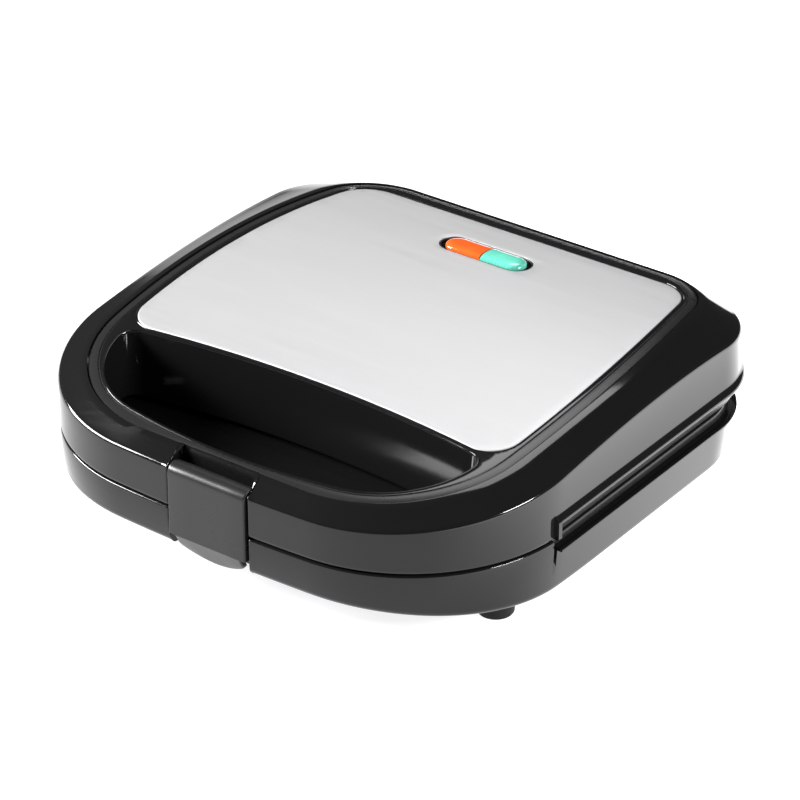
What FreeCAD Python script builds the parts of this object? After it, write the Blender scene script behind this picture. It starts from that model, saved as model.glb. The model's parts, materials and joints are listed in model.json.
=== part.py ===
import FreeCAD, Part
import math
import os

import Sketcher

# Donut maker: a hinged two-plate electric appliance that bakes six ring doughnuts.
# Frame: +Z up, +Y to the hinge, the front latch faces -Y, origin on the table under
# the middle of the appliance. Lengths in millimetres.

SIZES = {
    # casing outline
    "body_half_width": 118.0,
    "front_reach": 118.0,
    "lid_rear_reach": 117.0,
    "base_rear_reach": 111.0,
    "front_sweep": 781.0,
    "front_corner": 74.5,
    "rear_corner": 40.0,
    "wall": 2.0,
    # heights
    "parting_height": 32.0,
    "parting_gap": 1.0,
    "foot_height": 5.0,
    "keel_start": 13.0,
    "keel_sweep": 590.0,
    "deck_drop": 2.5,
    "deck_skin": 2.2,
    "base_draft": 1.8,
    # crown of the lid, as rises over the parting plane at three stations and two radii
    "crown_front_rise": 24.2,
    "crown_mid_rise": 34.1,
    "crown_rear_rise": 34.4,
    "crown_mid_y": -33.0,
    "crown_front_sweep": 2500.0,
    "crown_rear_sweep": 700.0,
    "slope_drop": 6.2,
    "slope_run": 9.4,
    "roof_skin": 2.2,
    # shadow band round the sides and rear
    "band_start": 46.0,
    "band_depth": 2.0,
    "band_rise": 7.0,
    "lip_height": 3.2,
    "lip_reach": 2.2,
    "lip_root": 0.55,
    "band_bottom": 27.8,
    "flange_thickness": 1.4,
    "flange_reach": 2.5,
    "flange_stop": 98.0,
    "band_end_width": 2.0,
    "notch_drop": 4.0,
    # satin frame and steel plate
    "rim_width": 7.2,
    "frame_thickness": 2.4,
    "seam": 0.3,
    "steel_half_width": 96.5,
    "steel_apex_y": -8.0,
    "steel_side_sweep": 506.0,
    "steel_front": 52.8,
    "steel_rear": 100.8,
    "steel_front_corner": 13.5,
    "steel_rear_corner": 17.0,
    "steel_front_sweep": 615.0,
    "steel_thickness": 0.8,
    "steel_sink": 0.2,
    "rim_front": 108.4,
    "rim_rear": 111.6,
    "rim_front_corner": 62.0,
    "rim_rear_corner": 30.0,
    # finger well in the lid
    "well_half_width": 89.5,
    "well_front": 104.6,
    "well_rear": 56.0,
    "well_front_sweep": 300.0,
    "well_front_corner": 44.0,
    "well_rear_corner": 7.0,
    "well_rear_sweep": 560.0,
    "well_skin": 1.8,
    # latch
    "latch_half_width": 19.3,
    "latch_side_gap": 1.0,
    "latch_face_y": 118.6,
    "latch_thickness": 3.2,
    "latch_foot": 20.6,
    "latch_tab_drop": 10.2,
    "latch_tab_tuck": 5.3,
    "latch_tab_thinning": 0.5,
    "latch_tab_round": 28.2,
    "latch_tab_half_width": 16.5,
    "latch_notch_depth": 9.4,
    "latch_pin_radius": 1.5,
    "latch_pin_y": 113.6,
    "latch_pin_rise": 15.6,
    "latch_barrel": 4.4,
    "latch_hook_reach": 1.2,
    "latch_hook_rise": 1.6,
    "latch_hook_half_width": 10.0,
    "latch_hook_height": 2.6,
    "catch_height": 2.4,
    "catch_reach": 4.0,
    "catch_half_width": 12.0,
    "catch_clearance": 0.25,
    # hinge
    "hinge_y": 116.0,
    "hinge_height": 27.0,
    "hinge_radius": 4.5,
    "hinge_pin_radius": 2.0,
    "hinge_station": 70.0,
    "lid_knuckle_width": 12.0,
    "base_knuckle_width": 7.0,
    "knuckle_gap": 0.3,
    "running_clearance": 0.05,
    # cooking plates
    "plate_half_width": 104.0,
    "plate_front": -42.0,
    "plate_rear": 102.0,
    "plate_corner": 34.0,
    "plate_ledge": 4.0,
    "plate_flange": 2.7,
    "plate_gap": 0.6,
    "panel_thickness": 2.4,
    "panel_clearance": 0.4,
    "ring_radius": 19.5,
    "ring_tube": 10.5,
    "casting_wall": 1.6,
    "ring_edge_x": 7.0,
    "ring_edge_y": 8.0,
    "plate_fit": 0.5,
    # heating parts
    "element_radius": 3.2,
    "element_lie": 0.1,
    "element_turn_inset": 9.0,
    "element_end_inset": 18.0,
    "terminal_radius": 1.4,
    "terminal_length": 9.0,
    "clamp_thickness": 1.0,
    "clamp_width": 12.0,
    "clamp_overhang": 8.0,
    "boss_radius": 5.5,
    "screw_radius": 1.5,
    "screw_head_radius": 3.2,
    "screw_head_height": 1.5,
    "screw_head_clearance": 0.3,
    "screw_grip": 9.0,
    "screw_sink": 0.6,
    "post_radius": 4.5,
    "rear_post_inset": 20.0,
    "front_post_inset": 12.0,
    "shield_thickness": 0.7,
    "shield_skirt": 5.0,
    "shield_inset": 6.0,
    "base_shield_height": 8.9,
    "lid_shield_rise": 23.0,
    # lamps
    "lamp_x": -2.0,
    "lamp_y": 75.0,
    "window_half_length": 22.8,
    "window_radius": 7.4,
    "bezel_lip": 1.3,
    "bezel_depth": 4.5,
    "lens_dome": 1.6,
    "neon_radius": 2.6,
    "neon_length": 15.0,
    "neon_sink": 8.2,
    "lamp_divider": 0.6,
    "holder_half_length": 27.0,
    "holder_half_width": 10.0,
    "holder_rise": 26.0,
    "holder_floor": 1.2,
    "lens_gap": 0.05,
    "bezel_proud": 0.3,
    "thermostat_pad": 8.0,
    "thermostat_radius": 7.5,
    "thermostat_height": 7.0,
    "thermostat_rise": 10.5,
    "thermostat_stud": 1.2,
    "fuse_radius": 3.0,
    "fuse_length": 40.0,
    "fuse_gap": 5.0,
    "block_half_length": 15.0,
    "block_x": -30.0,
    "block_depth": 8.0,
    "block_height": 12.0,
    "block_clearance": 0.5,
    # feet and cord gland
    "foot_radius": 8.0,
    "front_foot_x": 100.0,
    "front_foot_y": 62.0,
    "rear_foot_x": 96.0,
    "rear_foot_y": 78.0,
    "gland_bore": 3.3,
    "gland_radius": 5.5,
    "gland_reach": 9.2,
    "gland_height": 17.0,
    "gland_neck": 4.0,
    "gland_collar": 2.5,
    "cord_clamp_half_width": 9.0,
    "cord_clamp_depth": 6.0,
    "cord_clamp_height": 4.5,
}

doc = FreeCAD.newDocument("donut_maker")
dims = doc.addObject("Spreadsheet::Sheet", "dims")
for row, (alias, number) in enumerate(SIZES.items(), start=1):
    dims.set(f"A{row}", alias)
    dims.set(f"B{row}", str(number))
    dims.setAlias(f"B{row}", alias)
doc.recompute()


class Size:
    """A length that carries both its number and the spreadsheet formula behind it."""

    def __init__(self, value, formula):
        self.value = value
        self.formula = formula

    @staticmethod
    def of(other):
        if isinstance(other, Size):
            return other
        return Size(float(other), f"({float(other)!r})")

    def _join(self, other, sign, value):
        return Size(value, f"({self.formula} {sign} {other.formula})")

    def __add__(self, other):
        other = Size.of(other)
        return self._join(other, "+", self.value + other.value)

    def __sub__(self, other):
        other = Size.of(other)
        return self._join(other, "-", self.value - other.value)

    def __mul__(self, other):
        other = Size.of(other)
        return self._join(other, "*", self.value * other.value)

    def __truediv__(self, other):
        other = Size.of(other)
        return self._join(other, "/", self.value / other.value)

    def __radd__(self, other):
        return Size.of(other) + self

    def __rsub__(self, other):
        return Size.of(other) - self

    def __rmul__(self, other):
        return Size.of(other) * self

    def __neg__(self):
        return Size(-self.value, f"(0 - {self.formula})")

    def root(self):
        return Size(math.sqrt(self.value), f"sqrt({self.formula})")


def size(alias):
    return Size(float(getattr(dims, alias)), f"dims.{alias}")


def bind(thing, prop, length):
    """Ties one property of a document object to the spreadsheet."""
    thing.setExpression(prop, Size.of(length).formula)


# ---------------------------------------------------------------- plain solids


def place(thing, x=0, y=0, z=0):
    for axis, length in zip("xyz", (x, y, z)):
        bind(thing, f"Placement.Base.{axis}", length)
    return thing


def box(name, x, y, z):
    """A box from three (low, high) pairs."""
    thing = doc.addObject("Part::Box", name)
    for prop, (low, high) in zip(("Length", "Width", "Height"), (x, y, z)):
        bind(thing, prop, Size.of(high) - low)
    return place(thing, x[0], y[0], z[0])


TURNS = {
    "z": FreeCAD.Rotation(),
    "x": FreeCAD.Rotation(FreeCAD.Vector(0, 1, 0), 90),
    "y": FreeCAD.Rotation(FreeCAD.Vector(1, 0, 0), -90),
}


def cylinder(name, radius, length, start, axis="z"):
    """A cylinder that begins at start and runs along +axis."""
    thing = doc.addObject("Part::Cylinder", name)
    thing.Placement = FreeCAD.Placement(FreeCAD.Vector(), TURNS[axis])
    bind(thing, "Radius", radius)
    bind(thing, "Height", length)
    return place(thing, *start)


def cone(name, low_radius, high_radius, length, start):
    thing = doc.addObject("Part::Cone", name)
    bind(thing, "Radius1", low_radius)
    bind(thing, "Radius2", high_radius)
    bind(thing, "Height", length)
    return place(thing, *start)


def ring(name, major, minor, centre):
    thing = doc.addObject("Part::Torus", name)
    bind(thing, "Radius1", major)
    bind(thing, "Radius2", minor)
    return place(thing, *centre)


def cut(name, base, tool):
    thing = doc.addObject("Part::Cut", name)
    thing.Base = base
    thing.Tool = tool
    return thing


def fuse(name, *parts):
    thing = doc.addObject("Part::MultiFuse", name)
    thing.Shapes = list(parts)
    return thing


def common(name, *parts):
    thing = doc.addObject("Part::MultiCommon", name)
    thing.Shapes = list(parts)
    return thing


def group(name, *parts):
    """Separate solids that share one node."""
    thing = doc.addObject("Part::Compound", name)
    thing.Links = list(parts)
    return thing


# ------------------------------------------------------------ sketched outlines


def arc_middle(start, end, radius):
    """The middle of an arc that turns left for a positive radius."""
    chord = end - start
    half = chord.Length / 2
    sagitta = abs(radius) - math.sqrt(radius * radius - half * half)
    right = FreeCAD.Vector(chord.y, -chord.x, 0).normalize()
    return start + chord / 2 + right * (sagitta if radius > 0 else -sagitta)


def draw(sketch, path):
    """Draws a closed path of (x, y, radius to the next point or None)."""
    count = len(path)
    points = [FreeCAD.Vector(Size.of(x).value, Size.of(y).value, 0) for x, y, _ in path]
    for i, (_, _, radius) in enumerate(path):
        start = points[i]
        end = points[(i + 1) % count]
        if radius is None:
            sketch.addGeometry(Part.LineSegment(start, end), False)
            continue
        middle = arc_middle(start, end, Size.of(radius).value)
        sketch.addGeometry(Part.Arc(start, middle, end), False)
    ends = []
    for i, (_, _, radius) in enumerate(path):
        left_turn = radius is None or Size.of(radius).value > 0
        ends.append((1, 2) if left_turn else (2, 1))
    for i in range(count):
        after = (i + 1) % count
        sketch.addConstraint(Sketcher.Constraint("Coincident", i, ends[i][1], after, ends[after][0]))
    for i, (x, y, radius) in enumerate(path):
        for kind, length in (("DistanceX", x), ("DistanceY", y)):
            length = Size.of(length)
            index = sketch.addConstraint(
                Sketcher.Constraint(kind, -1, 1, i, ends[i][0], length.value)
            )
            bind(sketch, f"Constraints[{index}]", length)
        if radius is not None:
            length = Size.of(radius)
            if length.value < 0:
                length = -length
            index = sketch.addConstraint(Sketcher.Constraint("Radius", i, length.value))
            bind(sketch, f"Constraints[{index}]", length)


def new_sketch(body, name, plane, path, offset):
    sketch = body.newObject("Sketcher::SketchObject", name)
    origin = next(f for f in body.Origin.OriginFeatures if f.Role == plane)
    sketch.AttachmentSupport = [(origin, "")]
    sketch.MapMode = "FlatFace"
    bind(sketch, "AttachmentOffset.Base.z", offset)
    draw(sketch, path)
    return sketch


def pad(name, path, low, high, plane="XY_Plane"):
    """A PartDesign body: one closed outline padded between two levels of its plane."""
    body = doc.addObject("PartDesign::Body", name)
    sketch = new_sketch(body, f"{name}_outline", plane, path, low)
    feature = body.newObject("PartDesign::Pad", f"{name}_pad")
    feature.Profile = sketch
    bind(feature, "Length", Size.of(high) - low)
    return body


def loft(name, low_path, high_path, low, high):
    """A PartDesign body that runs straight from one outline to another above it."""
    body = doc.addObject("PartDesign::Body", name)
    first = new_sketch(body, f"{name}_low", "XY_Plane", low_path, low)
    second = new_sketch(body, f"{name}_high", "XY_Plane", high_path, high)
    feature = body.newObject("PartDesign::AdditiveLoft", f"{name}_loft")
    feature.Profile = first
    feature.Sections = [second]
    feature.Ruled = True
    return body


def inner_touch(big_centre, big_radius, small_centre, small_radius):
    """Where a small circle touches a big one from inside."""
    scale = big_radius / (big_radius - small_radius)
    return tuple(b + (c - b) * scale for b, c in zip(big_centre, small_centre))


def mirrored(points):
    """Completes a left-right symmetric path from its right half, front to rear.

    Each radius belongs to the run that follows its point, so the mirrored half takes
    the radius of the point before it.
    """
    left = []
    for i in range(len(points) - 1, -1, -1):
        x, y, _ = points[i]
        before = points[i - 1][2] if i > 0 else None
        left.append([-x, y, before])
    return [list(p) for p in points] + left


def body_path(inset, rear):
    """The casing seen from above: a bowed front, wide front corners, straight sides."""
    half = size("body_half_width") - inset
    front = size("front_reach") - inset
    back = rear - inset
    sweep = size("front_sweep") - inset
    corner = size("front_corner") - inset
    rear_corner = size("rear_corner") - inset
    bow_centre = (Size.of(0), sweep - front)
    corner_x = half - corner
    reach = ((sweep - corner) * (sweep - corner) - corner_x * corner_x).root()
    corner_y = sweep - front - reach
    touch = inner_touch(bow_centre, sweep, (corner_x, corner_y), corner)
    path = mirrored([
        (touch[0], touch[1], corner),
        (half, corner_y, None),
        (half, back - rear_corner, rear_corner),
        (half - rear_corner, back, None),
    ])
    path[-1][2] = sweep
    return path


def bowed_path(grow, front, rear, front_corner, rear_corner, front_bow):
    """An outline whose long sides bow outwards, used by the steel plate and its frame."""
    sweep = size("steel_side_sweep") + grow
    bow_x = size("steel_half_width") + grow - sweep
    bow_y = size("steel_apex_y")

    def corner_centre(y, radius):
        reach = (sweep - radius) * (sweep - radius) - (y - bow_y) * (y - bow_y)
        return (bow_x + reach.root(), y)

    front_centre = corner_centre(front_corner - front, front_corner)
    rear_centre = corner_centre(rear - rear_corner, rear_corner)
    side = (bow_x, bow_y)
    front_touch = inner_touch(side, sweep, front_centre, front_corner)
    rear_touch = inner_touch(side, sweep, rear_centre, rear_corner)
    path = mirrored([
        (front_centre[0], -front, front_corner),
        (front_touch[0], front_touch[1], sweep),
        (rear_touch[0], rear_touch[1], rear_corner),
        (rear_centre[0], rear, None),
    ])
    path[-1][2] = front_bow
    return path


def steel_path(grow):
    return bowed_path(
        Size.of(grow),
        size("steel_front") + grow,
        size("steel_rear") + grow,
        size("steel_front_corner") + grow,
        size("steel_rear_corner") + grow,
        -(size("steel_front_sweep") - grow),
    )


def rim_path(grow):
    return bowed_path(
        size("rim_width") + grow,
        size("rim_front") + grow,
        size("rim_rear") + grow,
        size("rim_front_corner") + grow,
        size("rim_rear_corner") + grow,
        None,
    )


def well_path(grow):
    """The finger well: a bowed front, long front corners, tight rear corners."""
    half = size("well_half_width") + grow
    front = size("well_front") + grow
    sweep = size("well_front_sweep") + grow
    corner = size("well_front_corner") + grow
    tight = size("well_rear_corner") + grow
    rear = grow - size("well_rear")
    bow_centre = (Size.of(0), sweep - front)
    corner_x = half - corner
    reach = ((sweep - corner) * (sweep - corner) - corner_x * corner_x).root()
    corner_centre = (corner_x, sweep - front - reach)
    touch = inner_touch(bow_centre, sweep, corner_centre, corner)
    tight_y = rear - tight
    rise = tight_y - corner_centre[1]
    run = ((corner - tight) * (corner - tight) - rise * rise).root()
    tight_centre = (corner_x + run, tight_y)
    tight_touch = inner_touch(corner_centre, corner, tight_centre, tight)
    path = mirrored([
        (touch[0], touch[1], corner),
        (tight_touch[0], tight_touch[1], tight),
        (tight_centre[0], rear, size("well_rear_sweep")),
    ])
    path[-1][2] = sweep
    return path


def slot_path(x, y, half_length, radius):
    """A slot with round ends, along X."""
    return [
        (x - half_length + radius, y - radius, None),
        (x + half_length - radius, y - radius, radius),
        (x + half_length, y, radius),
        (x + half_length - radius, y + radius, None),
        (x - half_length + radius, y + radius, radius),
        (x - half_length, y, radius),
    ]


def rounded_path(x, y, corner):
    """A rectangle from two (low, high) pairs, with round corners."""
    return [
        (x[0] + corner, y[0], None),
        (x[1] - corner, y[0], corner),
        (x[1], y[0] + corner, None),
        (x[1], y[1] - corner, corner),
        (x[1] - corner, y[1], None),
        (x[0] + corner, y[1], corner),
        (x[0], y[1] - corner, None),
        (x[0], y[0] + corner, corner),
    ]


# ------------------------------------------------------------------ main levels

ZERO = Size.of(0)
HALF = size("body_half_width")
FRONT = size("front_reach")
WALL = size("wall")
LID_REAR = size("lid_rear_reach")
BASE_REAR = size("base_rear_reach")
BASE_TOP = size("parting_height") - size("parting_gap") / 2
LID_LOW = size("parting_height") + size("parting_gap") / 2
BASE_LOW = size("foot_height")
DECK = BASE_TOP - size("deck_drop")
PARTING = size("parting_height")
CROWN_FRONT = PARTING + size("crown_front_rise")
CROWN_MID = PARTING + size("crown_mid_rise")
CROWN_REAR = PARTING + size("crown_rear_rise")
BAND_TOP = PARTING + size("band_rise")
SHIELD_LOW = PARTING + size("lid_shield_rise")
HOLDER_LOW = PARTING + size("holder_rise")
SKY = CROWN_MID + 20
OVER = Size.of(5)


def crown_block(name, sink, reach):
    """Everything under the crowned top of the lid, lowered by sink, reach wide each side."""
    front = -(FRONT + OVER)
    rear = LID_REAR + OVER
    path = [
        (front, ZERO - OVER, None),
        (rear, ZERO - OVER, None),
        (rear, CROWN_REAR - sink, size("crown_rear_sweep") - sink),
        (size("crown_mid_y"), CROWN_MID - sink, size("crown_front_sweep") - sink),
        (front, CROWN_FRONT - sink, None),
    ]
    return pad(name, path, -reach, reach, "YZ_Plane")


def keel_block(name, lift, reach):
    """Everything above the underside of the base, which sweeps up under the front grip."""
    start = -size("keel_start")
    front = -(FRONT + OVER)
    sweep = size("keel_sweep") - lift
    rise = sweep - (sweep * sweep - (front - start) * (front - start)).root()
    low = BASE_LOW + lift
    path = [
        (front, low + rise, sweep),
        (start, low, None),
        (LID_REAR + OVER, low, None),
        (LID_REAR + OVER, SKY, None),
        (front, SKY, None),
    ]
    return pad(name, path, -reach, reach, "YZ_Plane")


def face_normal(face):
    u_low, u_high, v_low, v_high = face.ParameterRange
    return face.normalAt((u_low + u_high) / 2, (v_low + v_high) / 2)


def chamfered(name, block, run, drop):
    """Slopes the rim of a crowned block down to its walls."""
    solid = block.Shape.Solids[0]
    crown = [face for face in solid.Faces if face_normal(face).z > 0.9]
    seams = [edge for face in crown for edge in face.Edges]
    rim = [edge for edge in seams if sum(edge.isSame(other) for other in seams) == 1]
    thing = doc.addObject("Part::Feature", name)
    thing.Shape = solid.makeChamfer(run.value, drop.value, rim)
    thing.Placement = FreeCAD.Placement()
    return thing


def lid_block(name, inset, low, sink):
    """The lid's solid form: outline, crowned top and sloping shoulder."""
    straight = pad(f"{name}_straight", body_path(inset, LID_REAR), low, SKY)
    crown = crown_block(f"{name}_crown", sink, HALF + OVER)
    block = common(f"{name}_block", straight, crown)
    doc.recompute()
    return chamfered(f"{name}_sloped", block, size("slope_run"), size("slope_drop"))


def under_crown(name, path, low, sink):
    """An outline padded up to a surface that lies sink below the crown."""
    column = pad(f"{name}_column", path, low, SKY)
    return common(name, column, crown_block(f"{name}_crown", sink, HALF + OVER))


def over_crown(name, path, sink):
    """What an outline cuts away from everything above a surface sink below the crown."""
    column = pad(f"{name}_column", path, LID_LOW, SKY)
    return cut(name, column, crown_block(f"{name}_crown", sink, HALF + OVER))


def slice_of(name, path, z, y):
    """A slice of an outline between two heights, kept between two Y stations."""
    slab = pad(f"{name}_slab", path, z[0], z[1])
    keep = box(f"{name}_keep", (-(HALF * 2), HALF * 2), y, (z[0] - OVER, z[1] + OVER))
    return common(name, slab, keep)


def ring_slice(name, inner, outer, z, y):
    """The part of a slice that lies outside an inner outline."""
    whole = slice_of(f"{name}_slice", outer, z, y)
    core = pad(f"{name}_core", inner, z[0] - OVER, z[1] + OVER)
    return cut(name, whole, core)


def span(face, side, near, far):
    """Heights near..far away from a face, upwards for side 1, downwards for side -1."""
    if side > 0:
        return (face + near, face + far)
    return (face - far, face - near)


# ------------------------------------------------------------------ shared places

SIDES = (("left", -1), ("right", 1))
CORE_INSET = WALL + size("band_depth")
BAND_FRONT = -size("band_start")
BEHIND = LID_REAR + OVER * 2
FRAME = size("frame_thickness")
ROOF_SINK = FRAME + size("roof_skin")
SEAM = size("seam")
PLATE_HALF = size("plate_half_width")
PLATE_FRONT = size("plate_front")
PLATE_REAR = size("plate_rear")
PLATE_Y = (PLATE_FRONT + PLATE_REAR) / 2
RING_OUTER = size("ring_radius") + size("ring_tube")
PITCH_X = size("plate_half_width") - RING_OUTER - size("ring_edge_x")
HALF_PITCH_Y = (size("plate_rear") - size("plate_front")) / 2 - RING_OUTER - size("ring_edge_y")
ROWS = (PLATE_Y - HALF_PITCH_Y, PLATE_Y + HALF_PITCH_Y)
COLUMNS = (-PITCH_X, ZERO, PITCH_X)
LOWER_FACE = DECK + size("plate_flange")
UPPER_FACE = LOWER_FACE + size("plate_gap")
CUP_RADIUS = size("ring_tube") + size("casting_wall")
ELEMENT_RISE = CUP_RADIUS + size("element_lie") + size("element_radius")
CLAMP_RISE = ELEMENT_RISE + size("element_radius")
SCREW = size("screw_radius")
HEAD = size("screw_head_radius")
HEAD_TALL = size("screw_head_height")
HEAD_ROOM = HEAD + size("screw_head_clearance")
PLATE_SCREWS = [(PITCH_X / 2 * sign, PLATE_Y) for _, sign in SIDES]
SCREW_SEAT = CROWN_MID - size("screw_sink")
PANEL_TOP = LID_LOW + size("panel_thickness")
PANEL_SEAT = LID_LOW + HEAD_TALL
POSTS = [
    (x, y)
    for _, sign in SIDES
    for x, y in (
        ((HALF - size("front_post_inset")) * sign, BAND_FRONT),
        ((HALF - size("rear_post_inset")) * sign, LID_REAR - size("rear_post_inset")),
    )
]
LATCH_HALF = size("latch_half_width")
NOTCH_HALF = LATCH_HALF + size("latch_side_gap")
NOTCH_BACK = size("latch_notch_depth") - FRONT
LATCH_FACE = -size("latch_face_y")
LATCH_INNER = LATCH_FACE + size("latch_thickness")
LATCH_Y = -size("latch_pin_y")
LATCH_Z = PARTING + size("latch_pin_rise")
CATCH_FACE = NOTCH_BACK - size("catch_reach")
HOOK_LOW = size("latch_foot") + size("latch_hook_rise")
HOOK_TOP = HOOK_LOW + size("latch_hook_height")
CATCH_LOW = HOOK_TOP + size("catch_clearance")
RUNNING = size("running_clearance")
HINGE_Y = size("hinge_y")
HINGE_Z = size("hinge_height")
HINGE_R = size("hinge_radius")
HINGE_PIN = size("hinge_pin_radius")
KNUCKLE_HALF = size("lid_knuckle_width") / 2
EAR_NEAR = KNUCKLE_HALF + size("knuckle_gap")
EAR_FAR = EAR_NEAR + size("base_knuckle_width")
LAMP = (size("lamp_x"), size("lamp_y"))
WINDOW = (size("window_half_length"), size("window_radius"))
GLAND_Z = size("gland_height")
NODES = []


def node(thing):
    """Names a finished sub-part after its own document object."""
    thing.Label = thing.Name
    NODES.append(thing)
    return thing


def latch_box(name, widen, y, z):
    return box(name, (-(NOTCH_HALF + widen), NOTCH_HALF + widen), y, z)


def window(name, grow, low):
    return pad(name, slot_path(*LAMP, WINDOW[0] + grow, WINDOW[1] + grow), low, SKY)


def plate_outline(grow):
    return rounded_path(
        (-(PLATE_HALF + grow), PLATE_HALF + grow),
        (PLATE_FRONT - grow, PLATE_REAR + grow),
        size("plate_corner") + grow,
    )


def screws(name, seats, head_side):
    """Pan-head screws: each seat is where a head meets what it clamps."""
    solids = []
    for i, (x, y, z, length) in enumerate(seats):
        head = span(z, head_side, ZERO, HEAD_TALL)
        shank = span(z, -head_side, ZERO, length)
        solids.append(fuse(
            f"{name}_{i}",
            cylinder(f"{name}_head_{i}", HEAD, head[1] - head[0], (x, y, head[0])),
            cylinder(f"{name}_shank_{i}", SCREW, shank[1] - shank[0], (x, y, shank[0])),
        ))
    return node(group(name, *solids))


# --------------------------------------------------------------------- lid shell


def lid_lip():
    """The rounded lip that overhangs the shadow band on the sides and rear."""
    low = BAND_TOP
    outline = loft(
        "lid_lip_form",
        body_path(-size("lip_reach"), LID_REAR),
        body_path(size("lip_root"), LID_REAR),
        low,
        low + size("lip_height"),
    )
    keep = box(
        "lid_lip_keep",
        (-(HALF * 2), HALF * 2),
        (BAND_FRONT, BEHIND),
        (low - OVER, low + size("lip_height") + OVER),
    )
    return common("lid_lip", outline, keep)


def lid_knuckle(side, sign):
    """A hinge knuckle that hangs from the lid's rear wall."""
    x = size("hinge_station") * sign
    barrel = cylinder(
        f"lid_knuckle_{side}_barrel",
        HINGE_R,
        KNUCKLE_HALF * 2,
        (x - KNUCKLE_HALF, HINGE_Y, HINGE_Z),
        "x",
    )
    web = box(
        f"lid_knuckle_{side}_web",
        (x - KNUCKLE_HALF, x + KNUCKLE_HALF),
        (LID_REAR - CORE_INSET, LID_REAR),
        (HINGE_Z, BAND_TOP),
    )
    return fuse(f"lid_knuckle_{side}", barrel, web)


def make_lid_housing():
    outer = lid_block("lid_outer", ZERO, LID_LOW, ZERO)
    recess = ring_slice(
        "lid_band",
        body_path(size("band_depth"), LID_REAR),
        body_path(-OVER, LID_REAR),
        (LID_LOW - OVER, BAND_TOP),
        (BAND_FRONT, BEHIND),
    )
    band_end = ring_slice(
        "lid_band_end",
        body_path(CORE_INSET, LID_REAR),
        body_path(-size("lip_reach"), LID_REAR),
        (LID_LOW, BAND_TOP + size("lip_height") / 2),
        (BAND_FRONT - size("band_end_width"), BAND_FRONT),
    )
    core = lid_block("lid_core", CORE_INSET, LID_LOW - OVER, ROOF_SINK)
    lipped = fuse("lid_lipped", cut("lid_banded", outer, recess), lid_lip())
    shell = cut("lid_shell", lipped, core)
    surround = common(
        "lid_notch_surround",
        latch_box("lid_notch_block", WALL, (-(FRONT + OVER), NOTCH_BACK + WALL), (LID_LOW, SKY)),
        outer,
    )
    pillars = []
    for i, (x, y) in enumerate(POSTS):
        start = (x, y, PANEL_TOP)
        pillars.append(cylinder(f"lid_post_{i}", size("post_radius"), SKY - PANEL_TOP, start))
    boss_low = SHIELD_LOW + size("shield_thickness")
    for i, (x, y) in enumerate(PLATE_SCREWS):
        start = (x, y, boss_low)
        pillars.append(cylinder(f"lid_boss_{i}", size("boss_radius"), SKY - boss_low, start))
    stand = common(
        "lid_pillars",
        group("lid_pillar_group", *pillars),
        crown_block("lid_pillar_crown", ROOF_SINK - size("roof_skin") / 2, HALF + OVER),
    )
    knuckles = [lid_knuckle(side, sign) for side, sign in SIDES]
    solid = fuse("lid_solid", shell, band_end, surround, stand, *knuckles)
    tools = [
        over_crown("lid_frame_seat", rim_path(SEAM), FRAME),
        pad("lid_well_hole", well_path(size("well_skin") + SEAM), LID_LOW - OVER, SKY),
        latch_box("lid_notch", ZERO, (-(FRONT + OVER), NOTCH_BACK), (LID_LOW - OVER, SKY)),
        window("lid_window", SEAM, HOLDER_LOW),
        cylinder(
            "lid_latch_pin_hole",
            size("latch_pin_radius"),
            (NOTCH_HALF + WALL) * 2,
            (-(NOTCH_HALF + WALL), LATCH_Y, LATCH_Z),
            "x",
        ),
    ]
    for i, (x, y) in enumerate(POSTS):
        tools.append(cylinder(f"lid_post_hole_{i}", SCREW, size("screw_grip"), (x, y, PANEL_TOP)))
    for i, (x, y) in enumerate(PLATE_SCREWS):
        tools.append(cylinder(f"lid_boss_hole_{i}", SCREW, SKY - boss_low, (x, y, boss_low)))
        tools.append(cylinder(f"lid_boss_sink_{i}", HEAD_ROOM, SKY - SCREW_SEAT, (x, y, SCREW_SEAT)))
    for side, sign in SIDES:
        start = size("hinge_station") * sign - KNUCKLE_HALF
        tools.append(cylinder(
            f"lid_knuckle_{side}_hole",
            HINGE_PIN + RUNNING,
            KNUCKLE_HALF * 2,
            (start, HINGE_Y, HINGE_Z),
            "x",
        ))
    return node(cut("lid_housing", solid, group("lid_cuts", *tools)))


def make_lid_panel():
    """The moulded panel that closes the lid's underside round the cooking plate."""
    gap = size("panel_clearance")
    slab = pad("lid_panel_slab", body_path(CORE_INSET + gap, LID_REAR), LID_LOW, PANEL_TOP)
    tools = [
        pad("lid_panel_plate_hole", plate_outline(size("plate_fit")), LID_LOW - OVER, SKY),
        pad("lid_panel_well_hole", well_path(size("well_skin") + SEAM), LID_LOW - OVER, SKY),
        latch_box(
            "lid_panel_notch",
            WALL + gap,
            (-(FRONT + OVER), NOTCH_BACK + WALL + gap),
            (LID_LOW - OVER, SKY),
        ),
    ]
    for i, (x, y) in enumerate(POSTS):
        tools.append(cylinder(f"lid_panel_hole_{i}", SCREW, OVER * 2, (x, y, LID_LOW - OVER)))
        sink_start = (x, y, LID_LOW - OVER)
        tools.append(cylinder(f"lid_panel_sink_{i}", HEAD_ROOM, HEAD_TALL + OVER, sink_start))
    node(cut("lid_inner_panel", slab, group("lid_panel_cuts", *tools)))
    seats = [(x, y, PANEL_SEAT, PANEL_TOP - PANEL_SEAT + size("screw_grip")) for x, y in POSTS]
    screws("lid_panel_screws", seats, -1)


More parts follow.
